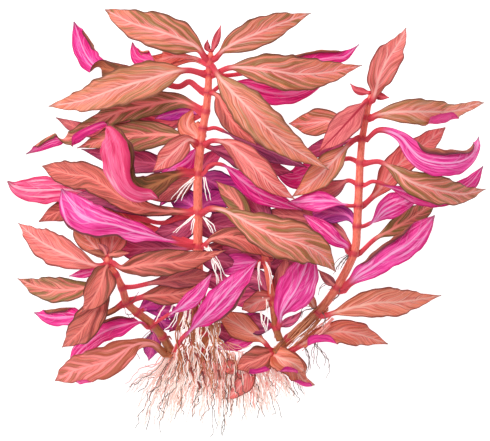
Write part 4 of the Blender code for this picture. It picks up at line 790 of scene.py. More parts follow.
         (Curl(1, 0.35, 0.9, (2.6, 2.4, 1.0)),), (0.4, 1.0, 1.0, 0.9, 0.7, 0.4, 0.0)),
    Leaf("lesser_lowest_top", "stem_creeping", 2, 7, 0.1, 0.5, Look.CORAL,
         ((-5, -74, 16), (-8, -73.4, 17), (-13.5, -72, 16)), (0, 0), 10),
    Leaf("deep_top_back", "stem_middle", 2, 7.5, 0.1, 0.6, Look.RUST,
         ((-27, 80.5, 38), (-38, 80.3, 33), (-46, 80, 30), (-52.5, 83.5, 27.5)), (0, 0), 8),
    Leaf("deep_left_edge", "stem_middle", 9, 10.5, 0.2, 0.6, Look.DEEP,
         ((-40, 4, 36), (-54, 7, 35), (-66, 10.5, 33), (-78, 12, 30), (-88, 11.5, 27)), (0, 0), 8, (),
         (0.2, 0.5, 0.8, 1.0, 1.0, 0.8, 0.5, 0.0)),
)

# Single roots away from the skirt, as guide lines
ROOT_LINES: dict[str, tuple[tuple[tuple[float, float, float], ...], ...]] = {
    "white": (
        ((-25, 22, 44), (-31, 17, 44), (-37, 10, 40)), ((-26, 21, 43), (-32, 13, 42), (-34, 8, 40)),
        ((-20.5, 22, 44), (-19, 15, 43), (-18, 8, 40)), ((-25.5, 2.5, 42), (-30, -2, 41), (-36, -7, 38)),
        ((-25, 2, 42), (-27, -3, 42), (-28, -8, 39)), ((-21, 2, 42), (-18, -3, 42), (-16, -8, 40)),
        ((-20.5, 2, 42), (-16.5, -2, 42), (-13, -9, 40)),
        ((-20, -13, 39), (-15, -20, 48), (-13, -28, 42), (-11, -35, 37)),
        ((-19, -13, 39), (-17, -22, 47), (-15, -30, 41), (-15, -37, 37)),
        ((-18, -14, 39), (-12, -24, 45), (-9.5, -33, 39)), ((-33, -42, 34), (-36, -50, 32), (-40, -54, 29)),
        ((-36, -41, 34), (-38, -46, 32), (-41, -51, 29)), ((-29, -42, 34), (-31, -49, 32), (-35, -56, 28)),
        ((-40, -43, 33), (-43, -48, 31), (-46, -55, 27)), ((7, -21, 36), (6, -29, 37), (8, -36, 36)),
        ((10, -21, 36), (12, -28, 37), (12, -38, 36)), ((9, -38, 34), (8.5, -48, 33), (12.5, -58, 28)),
        ((11, -40, 34), (11, -50, 32), (9, -60, 26)),
    ),
    "rosy": (
        ((-20, -70, 21), (-18, -82, 13), (-16, -96, 3)), ((-15, -72, 20), (-14, -84, 12), (-13, -97, 3)),
        ((-11, -74, 19), (-11.5, -84, 11), (-12.5, -93, 4)), ((12, -70, 19), (12.5, -78, 12), (11, -88, 4)),
        ((15, -72, 17), (16, -80, 11), (15, -90, 4)), ((-8, -62, 20), (-2, -64, 19), (4, -63, 19)),
        ((44, -48, 28), (36, -55, 24), (25, -62, 19)), ((42, -52, 26), (35, -58, 22), (27, -64, 18)),
        ((-34, -62, 24), (-37, -72, 14), (-38, -84, 4)), ((4, -78, 17), (5, -86, 9), (6, -95, 3)),
    ),
    "bark": (
        ((41, -45, 29), (33, -54, 25), (22, -64, 19)), ((38, -49, 28), (30, -58, 24), (20, -66, 18)),
        ((37, -43, 30), (28, -51, 27), (18, -62, 22)), ((34, -47, 30), (26, -56, 26), (17, -65, 20)),
        ((15, -44, 31), (16.5, -52, 29), (16, -62, 24)), ((-19, -36, 36), (-20, -44, 34), (-18, -54, 30)),
    ),
    "hair": (
        ((53, -16, 37), (47, -20, 37), (43.5, -27, 35)), ((52, -18, 37), (49.5, -22, 36), (47, -28, 34)),
        ((46, -32, 33), (40, -34, 34), (37, -39, 31)), ((48, -33, 33), (47, -37, 32), (44, -41, 29)),
        ((36, -44, 30), (30, -46, 30), (28, -54, 27)), ((38, -45, 30), (40, -49, 28), (38, -56, 23)),
        ((33, -60, 22), (38, -66, 16), (41, -72, 8), (40, -80, 2)),
        ((30, -62, 20), (33, -70, 12), (31, -78, 4)), ((36, -60, 20), (35, -68, 12), (37, -76, 4)),
        ((-58, -41, 37), (-54, -36, 36), (-50.5, -32, 34)), ((-54, -46, 34), (-57, -48, 32), (-58.5, -44, 31)),
        ((-47, -56, 24), (-52, -60, 16), (-55, -66, 8), (-53, -72, 3)),
    ),
    "fleck": (
        ((-38, -58, 26), (-36, -61, 27)), ((-32, -60, 28), (-30, -64, 29)), ((-28, -60, 30), (-27, -64, 31)),
        ((-25, -65, 28), (-23, -70, 27)), ((-17, -66, 27), (-16, -71, 26)), ((-28, -73, 21), (-26, -78, 19)),
        ((-20, -77, 20), (-18.5, -83, 17)), ((-13, -75, 21), (-11.5, -80, 18)), ((-31, -67, 25), (-29, -72, 23)),
        ((-9, -67, 24), (-7, -71, 22)), ((-24, -82, 16), (-22, -88, 12)),
    ),
}

@dataclass
class Stems:
    """The three leafy stems, the side shoot and the creeping stem, swollen at their leaf joints."""

    ring_step: float = 1.3  # millimetres between rings
    sides: int = 20
    swell: float = 0.20  # how much thicker a stem is at a joint
    swell_length: float = 1.5
    rib_depth: float = 0.035  # share of the radius: four soft ribs run up the stem
    flesh: str = "#FB7C68"
    shade: str = "#C9583F"
    light: str = "#FFA992"
    joint: str = "#CE2C4A"
    ring: str = "#8E1E38"
    bark: str = "#B4683E"
    bark_shade: str = "#6E3230"

    def material(self) -> bpy.types.Material:
        """Succulent stem skin: satin coral with long strokes of a darker red, and crimson joints."""
        material = bpy.data.materials.new("stem_skin")
        material.use_nodes = True
        tree = material.node_tree
        shader = tree.nodes["Principled BSDF"]
        marks = add_node(tree, "ShaderNodeAttribute", attribute_name="stem_place")
        run, turn, near = add_node(tree, "ShaderNodeSeparateXYZ", {0: marks.outputs["Vector"]}).outputs
        stretched = add_node(tree, "ShaderNodeCombineXYZ", {
            0: add_node(tree, "ShaderNodeMath", {0: run, 1: 0.12}, operation="MULTIPLY").outputs[0],
            1: add_node(tree, "ShaderNodeMath", {0: turn, 1: 1.0}, operation="SINE").outputs[0],
            2: add_node(tree, "ShaderNodeMath", {0: turn, 1: 1.0}, operation="COSINE").outputs[0],
        }).outputs[0]
        strokes = add_node(tree, "ShaderNodeTexNoise", {"Vector": stretched, "Scale": 3.2,
                                                        "Detail": 3.0, "Roughness": 0.6}).outputs[0]
        dark = add_node(tree, "ShaderNodeMapRange", {0: strokes, 1: 0.5, 2: 0.72, 3: 0.0, 4: 0.85}
                        ).outputs[0]
        pale = add_node(tree, "ShaderNodeMapRange", {0: strokes, 1: 0.46, 2: 0.3, 3: 0.0, 4: 0.7}
                        ).outputs[0]
        colour = add_node(tree, "ShaderNodeMix", {0: dark, 6: to_linear(self.flesh),
                                                  7: to_linear(self.shade)}, data_type="RGBA").outputs[2]
        colour = add_node(tree, "ShaderNodeMix", {0: pale, 6: colour, 7: to_linear(self.light)},
                          data_type="RGBA").outputs[2]
        old = add_node(tree, "ShaderNodeMix", {0: dark, 6: to_linear(self.bark),
                                               7: to_linear(self.bark_shade)},
                       data_type="RGBA").outputs[2]
        age = add_node(tree, "ShaderNodeAttribute", attribute_name="stem_age").outputs["Fac"]
        colour = add_node(tree, "ShaderNodeMix", {0: age, 6: colour, 7: old},
                          data_type="RGBA").outputs[2]
        for low, high, shade in ((0.15, 0.75, self.joint), (0.9, 0.99, self.ring)):
            here = add_node(tree, "ShaderNodeMapRange", {0: near, 1: low, 2: high, 4: 0.8}).outputs[0]
            colour = add_node(tree, "ShaderNodeMix", {0: here, 6: colour, 7: to_linear(shade)},
                              data_type="RGBA").outputs[2]
        tree.links.new(colour, shader.inputs["Base Color"])
        bump = add_node(tree, "ShaderNodeBump", {"Height": strokes, "Strength": 0.4,
                                                 "Distance": 0.0004})
        tree.links.new(bump.outputs[0], shader.inputs["Normal"])
        shader.inputs["Roughness"].default_value = 0.42
        shader.inputs["IOR"].default_value = 1.42
        return material

    def build(self) -> None:
        """Make every stem and let it stand for its own node."""
        material = self.material()
        for name, rings in STEMS.items():
            table = np.array(rings, float)
            fine = spline(table, 2 * table[0] - table[1], 2 * table[-1] - table[-2], 24)
            where = along(fine)
            count = math.ceil(where[-1] / self.ring_step)
            at = np.linspace(0.0, where[-1], count + 1)
            rows = pick(fine, where, at)
            joints = where[::24]
            near = np.exp(-((at[:, None] - joints[None, 1:-1]) / self.swell_length) ** 2).max(axis=1)
            radius = rows[:, 3] * (1 + self.swell * near)
            radius[0] *= 0.55
            way = unit(np.gradient(rows[:, :3], axis=0))
            right = unit(np.cross(way, (0.0, 0.0, 1.0)))
            up = np.cross(right, way)
            angle = np.linspace(0, 2 * np.pi, self.sides, endpoint=False)
            rib = 1 + self.rib_depth * np.cos(4 * angle)
            out = (right[:, None] * np.cos(angle)[None, :, None]
                   + up[:, None] * np.sin(angle)[None, :, None])
            places = rows[:, None, :3] + out * (radius[:, None] * rib[None])[..., None]
            marks = np.stack(np.broadcast_arrays(at[:, None], angle[None], near[:, None]), axis=-1)
            flat = np.vstack([places.reshape(-1, 3), rows[0, :3] - way[0] * 0.5, rows[-1, :3]])
            notes = np.vstack([marks.reshape(-1, 3), (0, 0, 0.4), (at[-1], 0, 0)])
            age = smooth_step(-flat[:, 1], 30.0, 56.0)[:, None] * np.array((1.0, 1.0, 1.0))
            faces = []
            for i in range(len(rows) - 1):
                for j in range(self.sides):
                    k = (j + 1) % self.sides
                    a, b = i * self.sides, (i + 1) * self.sides
                    faces.append((a + j, b + j, b + k, a + k))
            first, last = len(flat) - 2, len(flat) - 1
            base = (len(rows) - 1) * self.sides
            for j in range(self.sides):
                k = (j + 1) % self.sides
                faces.append((first, j, k))
                faces.append((last, base + k, base + j))
            item = mesh_object(name + "_skin", flat, faces, {"stem_place": notes, "stem_age": age}, material)
            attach(item, "root")
            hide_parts(name)
            LOG.info("%s: %d faces", item.name, len(faces))


@dataclass
class Foliage:
    """Every leaf, from the tiny ones at the growing tips to the large ones."""

    row_step: float = 1.1  # millimetres between rows along a leaf
    outline_point: float = 1.12  # above 1, the outline runs hollow into stalk and point
    stalk_half: float = 0.7  # plus a share of the blade's width
    stalk_share: float = 0.042
    tip_half: float = 0.25
    blade_half: float = 0.16  # half of the blade's thickness
    vein_slope: float = 2.5  # how far a side vein runs to the tip for each millimetre out
    quilt: float = 0.13  # how far the blade swells between its side veins
    wave: float = 0.034  # share of the width that the margins ripple up and down
    bend_radius: float = 0.42  # of a rolled edge
    flat_shares: tuple[float, ...] = (0.12, 0.28, 0.46, 0.64, 0.82, 1.0)

    def spine(self, leaf: Leaf) -> tuple[np.ndarray, np.ndarray, np.ndarray, float]:
        """The leaf's middle line.

        Args:
            leaf: the leaf.

        Returns:
            Places, directions, shares of the leaf's length (below 0 inside the stem) and length.
        """
        rings = np.array(STEMS[leaf.stem], float)
        centre = rings[leaf.joint, :3]
        above = rings[max(leaf.joint - 1, 0), :3]
        below = rings[min(leaf.joint + 1, len(rings) - 1), :3]
        way = unit(above - below)
        out = np.array(leaf.path[0], float) - centre
        out = unit(out - way * out.dot(way))
        lesser = leaf.name.startswith(("lesser", "bud", "deep"))
        gap = 0.2 if lesser else rings[leaf.joint, 3] * 1.14 + 0.35
        start = centre + out * gap
        points = np.vstack([start, np.array(leaf.path, float)])
        fine = spline(points, start - 5 * out, 2 * points[-1] - points[-2], 16)
        where = along(fine)
        length = where[-1]
        count = max(16, math.ceil(length / self.row_step))
        at = np.linspace(0.0, length, count + 1)
        places = pick(fine, where, at)
        ways = np.gradient(places, axis=0)
        ways[0] = out
        inner = 0 if lesser else 3
        for step in range(inner):
            places = np.vstack([centre + out * gap * (1 - 0.25 * (step + 1)), places])
            ways = np.vstack([out, ways])
            at = np.concatenate([[-gap * 0.25 * (step + 1)], at])
        return places, unit(ways), at / length, length

    def half_section(self, half: np.ndarray, rod: np.ndarray, over: np.ndarray, flap: np.ndarray
                     ) -> tuple[np.ndarray, ...]:
        """One half of the blade's section, from the midrib out and round a rolled edge.

        Args:
            half: half of the width at each row.
            rod: the midrib's radius at each row.
            over: how far the edge is rolled over at each row, from 0 to 1.
            flap: millimetres of blade that lie over at each row.

        Returns:
            Place across, height, turn of the surface and distance from the midrib, row by column.
        """
        radius = np.minimum(self.bend_radius, 0.3 * half)
        level = half - radius
        rod = np.minimum(rod, 0.85 * level)
        shares = np.array(self.flat_shares)
        flat = rod[:, None] + (level - rod)[:, None] * shares[None]
        flat = np.hstack([rod[:, None] * 0.55, rod[:, None], flat])
        turn_end = over * math.radians(164)
        bend = radius * (1 + turn_end)
        bow = np.maximum(turn_end / bend, 1e-6)
        steps = np.array((0.25, 0.5, 0.75, 1.0)) if flap.any() else np.array((0.55, 1.0))
        arc = bend[:, None] * steps[None]
        turn = bow[:, None] * arc
        a_bend = level[:, None] + np.sin(turn) / bow[:, None]
        h_bend = (1 - np.cos(turn)) / bow[:, None]
        columns = [(flat, 0 * flat, 0 * flat, flat), (a_bend, h_bend, turn, level[:, None] + arc)]
        if flap.any():
            rest = (over * flap)[:, None] * np.array((0.2, 0.4, 0.6, 0.8, 1.0))[None]
            last = turn[:, -1:]
            columns.append((a_bend[:, -1:] + rest * np.cos(last), h_bend[:, -1:] + rest * np.sin(last),
                            last + 0 * rest, level[:, None] + bend[:, None] + rest))
        return tuple(np.hstack([c[k] for c in columns]) for k in range(4))

    def build_leaf(self, leaf: Leaf, number: int) -> bpy.types.Object:
        """One leaf: a closed surface with its stalk, midrib, ripples and rolled edges.

        Args:
            leaf: the leaf.
            number: its place in the tables, which seeds its small differences.

        Returns:
            The leaf's object.
        """
        chance = np.random.default_rng(100 + number)
        places, ways, shares, length = self.spine(leaf)
        rows = len(places)
        blade = (shares - leaf.stalk) / (1 - leaf.stalk)
        inside = np.clip(blade, 0.0, 1.0)
        skew = math.log(0.5) / math.log(leaf.widest)
        stalk_half = self.stalk_half + self.stalk_share * leaf.width
        form = np.sin(np.pi * inside**skew) ** self.outline_point
        if leaf.outline:
            form = np.interp(inside, np.linspace(0, 1, len(leaf.outline)), leaf.outline)
            form = np.convolve(np.pad(form, 3, "edge"), np.hanning(9)[1:-1] / 4, "valid")
        half = 0.5 * leaf.width * form
        least = np.interp(inside, (0.0, 0.3, 1.0), (stalk_half, 0.6 * stalk_half, self.tip_half))
        half = (half**4 + least**4) ** 0.25
        half *= 1 + 0.45 * np.exp(-np.maximum(shares * length, 0.0) / 1.4)
        rod = stalk_half * np.interp(inside, (0.0, 0.1, 1.0), (0.95, 0.62, 0.16))
        rod_rise = np.interp(inside, (0.0, 0.14, 1.0), (0.92, 0.55, 0.5)) * rod

        rolls = np.interp(np.clip(shares, 0, 1), np.linspace(0, 1, len(leaf.roll)), leaf.roll)
        rolls = np.convolve(np.pad(rolls, 2, "edge"), np.hanning(7)[1:-1] / 3, "valid")
        turn = np.radians(rolls)[:, None]
        right = unit(np.cross(ways, (0.0, 0.0, 1.0)))
        up = np.cross(right, ways)
        across = np.cos(turn) * right + np.sin(turn) * up
        face = np.cos(turn) * up - np.sin(turn) * right

        lift = math.tan(math.radians(leaf.fold)) * np.clip(2 * blade, 0, 1)
        window = smooth_step(blade, 0.02, 0.25) * smooth_step(blade, 1.0, 0.8)
        halves = {}
        for s in (-1, 1):
            over, flap, toward = np.zeros(rows), np.zeros(rows), np.ones(rows)
            for curl in leaf.curls:
                centre_roll = np.interp((curl.start + curl.end) / 2, np.linspace(0, 1, len(leaf.roll)),
                                        leaf.roll)
                facing = 1.0 if math.cos(math.radians(centre_roll)) > 0 else -1.0
                if curl.hand * facing == s:
                    ease = curl.ease * (curl.end - curl.start)
                    widths = np.interp(shares, np.linspace(curl.start, curl.end, len(curl.widths)),
                                       curl.widths)
                    here = (smooth_step(shares, curl.start, curl.start + ease)
                            * smooth_step(shares, curl.end, curl.end - ease))
                    toward = np.where(here > over, facing, toward)
                    flap = np.where(here > over, widths, flap)
                    over = np.maximum(over, here)
            a, h, bend, arc = self.half_section(half, rod, over, flap)
            reach = np.clip(a / half[:, None], 0, 1.05)
            run = (shares * length)[:, None] - self.vein_slope * arc - 0.08 * arc**2
            run = run + 1.5 * np.sin(0.24 * run + chance.uniform(0, 6)) + (4.6 if s > 0 else 0.0)
            run = run + 0.9 * np.sin(0.31 * (shares * length)[:, None] + 0.55 * arc
                                     + chance.uniform(0, 6))
            ripple = np.sin(2 * np.pi * shares * length / chance.uniform(12, 17)
                            + chance.uniform(0, 6.3))
            ripple = ripple + 0.6 * np.sin(2 * np.pi * shares * length / chance.uniform(6.5, 9)
                                           + chance.uniform(0, 6.3))
            crease = np.sqrt(a**2 + 0.64) - 0.8
            rise = h * toward[:, None] + lift[:, None] * crease * (1 - 0.3 * reach**2)
            rise = rise + (self.wave * leaf.width * ripple * window)[:, None] * reach**2.2
            rise = rise - self.quilt * np.cos(2 * np.pi * run / leaf.look.value.vein_spacing) * (
                window[:, None] * smooth_step(reach, 0.1, 0.3) * smooth_step(reach, 1.0, 0.8))
            wide = 1 + (0.04 * ripple * window)[:, None] * reach**2
            halves[s] = (s * a * wide, rise, -s * toward[:, None] * np.sin(bend), np.cos(bend), arc,
                         run)

        middle = np.zeros((rows, 1))
        left, rightward = halves[-1], halves[1]
        parts = [np.hstack([left[k][:, ::-1], middle, rightward[k]]) for k in range(6)]
        a, rise, lean, stand, arc, run = parts
        mid = left[0].shape[1]
        stand[:, mid] = 1.0
        run[:, mid] = (shares * length) + 1.15
        outer = np.maximum(arc[:, :1], 1e-6), np.maximum(arc[:, -1:], 1e-6)
        edge = np.where(np.arange(arc.shape[1])[None] < mid, arc / outer[0], arc / outer[1])
        signed = arc * np.sign(np.arange(arc.shape[1]) - mid)[None]
        bar = rod_rise[:, None] * np.sqrt(np.clip(1 - (arc / rod[:, None]) ** 2, 0, 1))
        skin = self.blade_half * (1 - 0.55 * edge**4) * smooth_step(blade, -0.02, 0.1)[:, None] + 0.03
        in_blade = smooth_step(blade, 0.0, 0.15)[:, None]
        thick_top = np.maximum(skin, bar * (1 - 0.6 * in_blade))
        thick_low = np.maximum(skin, bar)
        middle_face = (places[:, None] + a[..., None] * across[:, None]
                       + rise[..., None] * face[:, None])
        normal = lean[..., None] * across[:, None] + stand[..., None] * face[:, None]
        top = middle_face + normal * thick_top[..., None]
        low = middle_face - normal * thick_low[..., None]

        columns = a.shape[1]
        seed = (number * 0.618) % 1.0
        common = np.broadcast_arrays(blade[:, None], edge, np.full_like(edge, seed))
        notes = np.stack(common, axis=-1).reshape(-1, 3)
        drawn = [np.stack([run, signed, np.full_like(run, side)], axis=-1).reshape(-1, 3)
                 for side in (0.0, 1.0)]
        faces = self.faces(rows, columns)
        item = mesh_object(leaf.name + "_blade" if leaf.name.startswith("leaf") else leaf.name,
                           np.vstack([top.reshape(-1, 3), low.reshape(-1, 3)]), faces,
                           {"leaf_place": np.vstack(drawn), "leaf_blade": np.vstack([notes, notes])},
                           leaf.look.value.material())
        LOG.info("%s: %d faces, %.0f mm long", item.name, len(faces), length)
        return item

    def faces(self, rows: int, columns: int) -> list[tuple[int, ...]]:
        """Faces of a closed sheet: top, underside, both edges and both ends."""
        size = rows * columns
        faces: list[tuple[int, ...]] = []
        for i in range(rows - 1):
            for j in range(columns - 1):
                a, b = i * columns + j, (i + 1) * columns + j
                faces.append((a, a + 1, b + 1, b))
                faces.append((size + a, size + b, size + b + 1, size + a + 1))
            r0, r1 = (i + 1) * columns - 1, (i + 2) * columns - 1
            faces.append((r0, size + r0, size + r1, r1))
            l0, l1 = i * columns, (i + 1) * columns
            faces.append((l0, l1, size + l1, size + l0))
        end = (rows - 1) * columns
        for j in range(columns - 1):
            faces.append((j, size + j, size + j + 1, j + 1))
            faces.append((end + j, end + j + 1, size + end + j + 1, size + end + j))
        return faces

    def build(self) -> None:
        """Make every leaf; a leaf with a node of its own stands for it."""
        for number, leaf in enumerate(LEAVES + LESSER_LEAVES):
            item = self.build_leaf(leaf, number)
            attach(item, "root")
            if leaf.name.startswith("leaf"):
                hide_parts(leaf.name)


@dataclass(frozen=True)
class RootFinish:
    """A water root: a soft, almost see-through thread, here milky, with a little colour of its own and a painted
    glow in it.
    """

    label: str
    base: str
    tip: str
    painted_glow: float  # strength of the painted glow that stands in for the board's light shining through

    def material(self) -> bpy.types.Material:
        """The threads' node material: each strand a little different, paler to its tip, and with a painted glow.
        """
        material = bpy.data.materials.new("root_" + self.label)
        material.use_nodes = True
        tree = material.node_tree
        shader = tree.nodes["Principled BSDF"]
        share = add_node(tree, "ShaderNodeAttribute", attribute_name="strand_share")
        tone = add_node(tree, "ShaderNodeAttribute", attribute_name="strand_tone")
        spot = add_node(tree, "ShaderNodeTexCoord")
        noise = add_node(tree, "ShaderNodeTexNoise", {"Vector": spot.outputs["Object"],
                                                      "Scale": 260.0, "Detail": 2.0}).outputs[0]
        mixed = add_node(tree, "ShaderNodeMath", {0: tone.outputs["Fac"], 1: noise},
                         operation="MULTIPLY_ADD").outputs[0]
        tree.nodes[-1].inputs[2].default_value = 0.0
        mixed = add_node(tree, "ShaderNodeMath", {0: share.outputs["Fac"], 1: 0.45, 2: mixed},
                         operation="MULTIPLY_ADD", use_clamp=True).outputs[0]
        colour = add_node(tree, "ShaderNodeMix", {0: mixed, 6: to_linear(self.base),
                                                  7: to_linear(self.tip)}, data_type="RGBA").outputs[2]
        tree.links.new(colour, shader.inputs["Base Color"])
        # Painted glow: the strand emits its own colour, standing in for the board's light shining through it
        tree.links.new(colour, shader.inputs["Emission Color"])
        shader.inputs["Emission Strength"].default_value = self.painted_glow
        bump = add_node(tree, "ShaderNodeBump", {"Height": noise, "Strength": 0.3,
                                                 "Distance": 0.0002})
        tree.links.new(bump.outputs[0], shader.inputs["Normal"])
        shader.inputs["Roughness"].default_value = 0.6
        shader.inputs["IOR"].default_value = 1.38
        return material


@dataclass(frozen=True)
class RootKind:
    """One kind of root: its guide lines and the sizes that its strands grow by, in millimetres."""

    label: str
    finish: RootFinish
    guides: tuple[tuple[tuple[float, float, float], ...], ...]
    copies: int
    spread_start: float
    spread_end: float
    wander: float
    radius: float
    shortest: float
    seed: int
    tip_share: float = 0.5  # of the radius that is left at a strand's tip


@dataclass
class Roots:
    """The skirt of fine roots below the creeping stem and the threads that hang at the joints."""

    points: int = 22  # along a strand
    sides: int = 5
    wander_scale: float = 125.0  # bends a metre
    skirt_tips: tuple[tuple[float, float], ...] = (
        (-57.5, -86), (-54, -101), (-43.5, -107), (-33, -100), (-23, -104), (-11.5, -108),
        (-6.5, -104), (3.5, -98), (13, -102), (22.5, -91), (29, -93))

    def tree(self) -> bpy.types.NodeTree:
        """Geometry Nodes that grow strands along guide lines, copied, bent, tapered and dressed."""
        tree = bpy.data.node_groups.new("root_strands", "GeometryNodeTree")
        face = tree.interface
        face.new_socket("Guides", in_out="INPUT", socket_type="NodeSocketGeometry")
        for name, kind in (("Copies", "Int"), ("Spread Start", "Float"), ("Spread End", "Float"),
                           ("Wander", "Float"), ("Wander Scale", "Float"), ("Radius", "Float"),
                           ("Tip Share", "Float"), ("Shortest", "Float"), ("Points", "Int"),
                           ("Sides", "Int"), ("Seed", "Int"), ("Finish", "Material")):
            face.new_socket(name, in_out="INPUT", socket_type="NodeSocket" + kind)
        face.new_socket("Strands", in_out="OUTPUT", socket_type="NodeSocketGeometry")
        given = add_node(tree, "NodeGroupInput").outputs
        lines = add_node(tree, "GeometryNodeMeshToCurve", {"Mesh": given["Guides"]})
        even = add_node(tree, "GeometryNodeResampleCurve", {"Curve": lines.outputs[0],
                                                            "Count": given["Points"]})
        many = add_node(tree, "GeometryNodeDuplicateElements",
                        {"Geometry": even.outputs[0], "Amount": given["Copies"]}, domain="SPLINE")
        place = add_node(tree, "FunctionNodeRandomValue",
                         {0: (-1.0, -1.0, -1.0), 1: (1.0, 1.0, 1.0), "Seed": given["Seed"]},
                         data_type="FLOAT_VECTOR")
        keep = add_node(tree, "GeometryNodeCaptureAttribute", {"Geometry": many.outputs[0]},
                        domain="CURVE")
        keep.capture_items.new("VECTOR", "place")
        tree.links.new(place.outputs[0], keep.inputs[1])
        length = add_node(tree, "FunctionNodeRandomValue",
                          {2: given["Shortest"], 3: 1.0, "Seed": given["Seed"]}, data_type="FLOAT")
        cut = add_node(tree, "GeometryNodeTrimCurve", {"Curve": keep.outputs[0],
                                                       "End": length.outputs[1]})
        even = add_node(tree, "GeometryNodeResampleCurve", {"Curve": cut.outputs[0],
                                                            "Count": given["Points"]})
        share = add_node(tree, "GeometryNodeSplineParameter").outputs[0]
        spread = add_node(tree, "ShaderNodeMapRange", {0: share, 3: given["Spread Start"],
                                                       4: given["Spread End"]}).outputs[0]
        aside = add_node(tree, "ShaderNodeVectorMath", {0: keep.outputs[1], "Scale": spread},
                         operation="SCALE").outputs[0]
        spot = add_node(tree, "GeometryNodeInputPosition").outputs[0]
        shift = add_node(tree, "ShaderNodeVectorMath", {0: keep.outputs[1], "Scale": 0.2},
                         operation="SCALE").outputs[0]
        spot = add_node(tree, "ShaderNodeVectorMath", {0: spot, 1: shift}, operation="ADD").outputs[0]
        noise = add_node(tree, "ShaderNodeTexNoise", {"Vector": spot, "Scale": given["Wander Scale"],
                                                      "Detail": 2.0}).outputs["Color"]
        noise = add_node(tree, "ShaderNodeVectorMath", {0: noise, 1: (0.5, 0.5, 0.5)},
                         operation="SUBTRACT").outputs[0]
        amount = add_node(tree, "ShaderNodeMapRange", {0: share, 1: 0.0, 2: 0.5, 4: given["Wander"]}
                          ).outputs[0]
        amount = add_node(tree, "ShaderNodeMath", {0: amount, 1: 2.0}, operation="MULTIPLY").outputs[0]
        bend = add_node(tree, "ShaderNodeVectorMath", {0: noise, "Scale": amount},
                        operation="SCALE").outputs[0]
        move = add_node(tree, "ShaderNodeVectorMath", {0: aside, 1: bend}, operation="ADD").outputs[0]
        moved = add_node(tree, "GeometryNodeSetPosition", {"Geometry": even.outputs[0],
                                                           "Offset": move})
        x, y, z = add_node(tree, "ShaderNodeSeparateXYZ",
                           {0: add_node(tree, "GeometryNodeInputPosition").outputs[0]}).outputs
        z = add_node(tree, "ShaderNodeMath", {0: z, 1: 0.0005}, operation="MAXIMUM").outputs[0]
        above = add_node(tree, "ShaderNodeCombineXYZ", {0: x, 1: y, 2: z}).outputs[0]
        moved = add_node(tree, "GeometryNodeSetPosition", {"Geometry": moved.outputs[0],
                                                           "Position": above})
        marked = add_node(tree, "GeometryNodeStoreNamedAttribute",
                          {"Geometry": moved.outputs[0], "Name": "strand_share", "Value": share},
                          data_type="FLOAT", domain="POINT")
        tone = add_node(tree, "ShaderNodeSeparateXYZ", {0: keep.outputs[1]}).outputs[0]
        tone = add_node(tree, "ShaderNodeMapRange", {0: tone, 1: -1.0, 2: 1.0}).outputs[0]
        marked = add_node(tree, "GeometryNodeStoreNamedAttribute",
                          {"Geometry": marked.outputs[0], "Name": "strand_tone", "Value": tone},
                          data_type="FLOAT", domain="POINT")
        taper = add_node(tree, "ShaderNodeMapRange", {0: share, 3: 1.0, 4: given["Tip Share"]}
                         ).outputs[0]
        thick = add_node(tree, "ShaderNodeMath", {0: taper, 1: given["Radius"]},
                         operation="MULTIPLY").outputs[0]
        radius = add_node(tree, "GeometryNodeSetCurveRadius", {"Curve": marked.outputs[0],
                                                               "Radius": thick})
        ring = add_node(tree, "GeometryNodeCurvePrimitiveCircle", {"Resolution": given["Sides"],
                                                                   "Radius": 1.0})
        tube = add_node(tree, "GeometryNodeCurveToMesh", {"Curve": radius.outputs[0],
                                                          "Profile Curve": ring.outputs[0],
                                                          "Fill Caps": True})
        for number, socket in enumerate(tube.inputs):
            if socket.name == "Scale":
                tree.links.new(thick, tube.inputs[number])
        smooth = add_node(tree, "GeometryNodeSetShadeSmooth", {"Geometry": tube.outputs[0]})
        real = add_node(tree, "GeometryNodeRealizeInstances", {"Geometry": smooth.outputs[0]})
        dressed = add_node(tree, "GeometryNodeSetMaterial", {"Geometry": real.outputs[0],
                                                             "Material": given["Finish"]})
        add_node(tree, "NodeGroupOutput", {0: dressed.outputs[0]})
        return tree

    def skirt(self, count: int, lift: float = 0.0) -> tuple[tuple[tuple[float, float, float], ...], ...]:
        """Guide lines from above the creeping stem to the ragged lower edge of the roots.

        Args:
            count: how many lines.
            lift: millimetres that they lie above the lowest ones.

        Returns:
            The lines' points.
        """
        tips = np.array(self.skirt_tips)
        guides = []
        for k in range(count):
            share = k / (count - 1)
            x_tip = -57.5 + 86.5 * share
            y_tip = np.interp(x_tip, tips[:, 0], tips[:, 1])
            x_top = -38 + 53 * share
            y_top = -66.5 + 2.0 * math.sin(7 * share)
            guides.append(((x_top, y_top, 15.0 + lift),
                           (x_top + 0.25 * (x_tip - x_top), y_top - 8, 14.0 + lift),
                           (x_top + 0.7 * (x_tip - x_top), 0.4 * y_top + 0.6 * y_tip, 5.5 + lift),
                           (x_tip, y_tip, 2.2)))
        return tuple(guides)

    def tangle(self, count: int, lift: float) -> tuple[tuple[tuple[float, float, float], ...], ...]:
        """Guide lines down the foot of the middle stem, which they hide."""
        guides = []
        for k in range(count):
            share = k / (count - 1)
            sway = 3.0 * math.sin(11 * share)
            guides.append(((-30 + 16 * share, -45 - 2 * sway, 32 + lift),
                           (-32 + 20 * share + sway, -58, 27 + lift),
                           (-31 + 21 * share - sway, -71, 20 + lift),
                           (-31 + 25 * share, -84, 11), (-32 + 27 * share, -95 + sway, 3)))
        return tuple(guides)

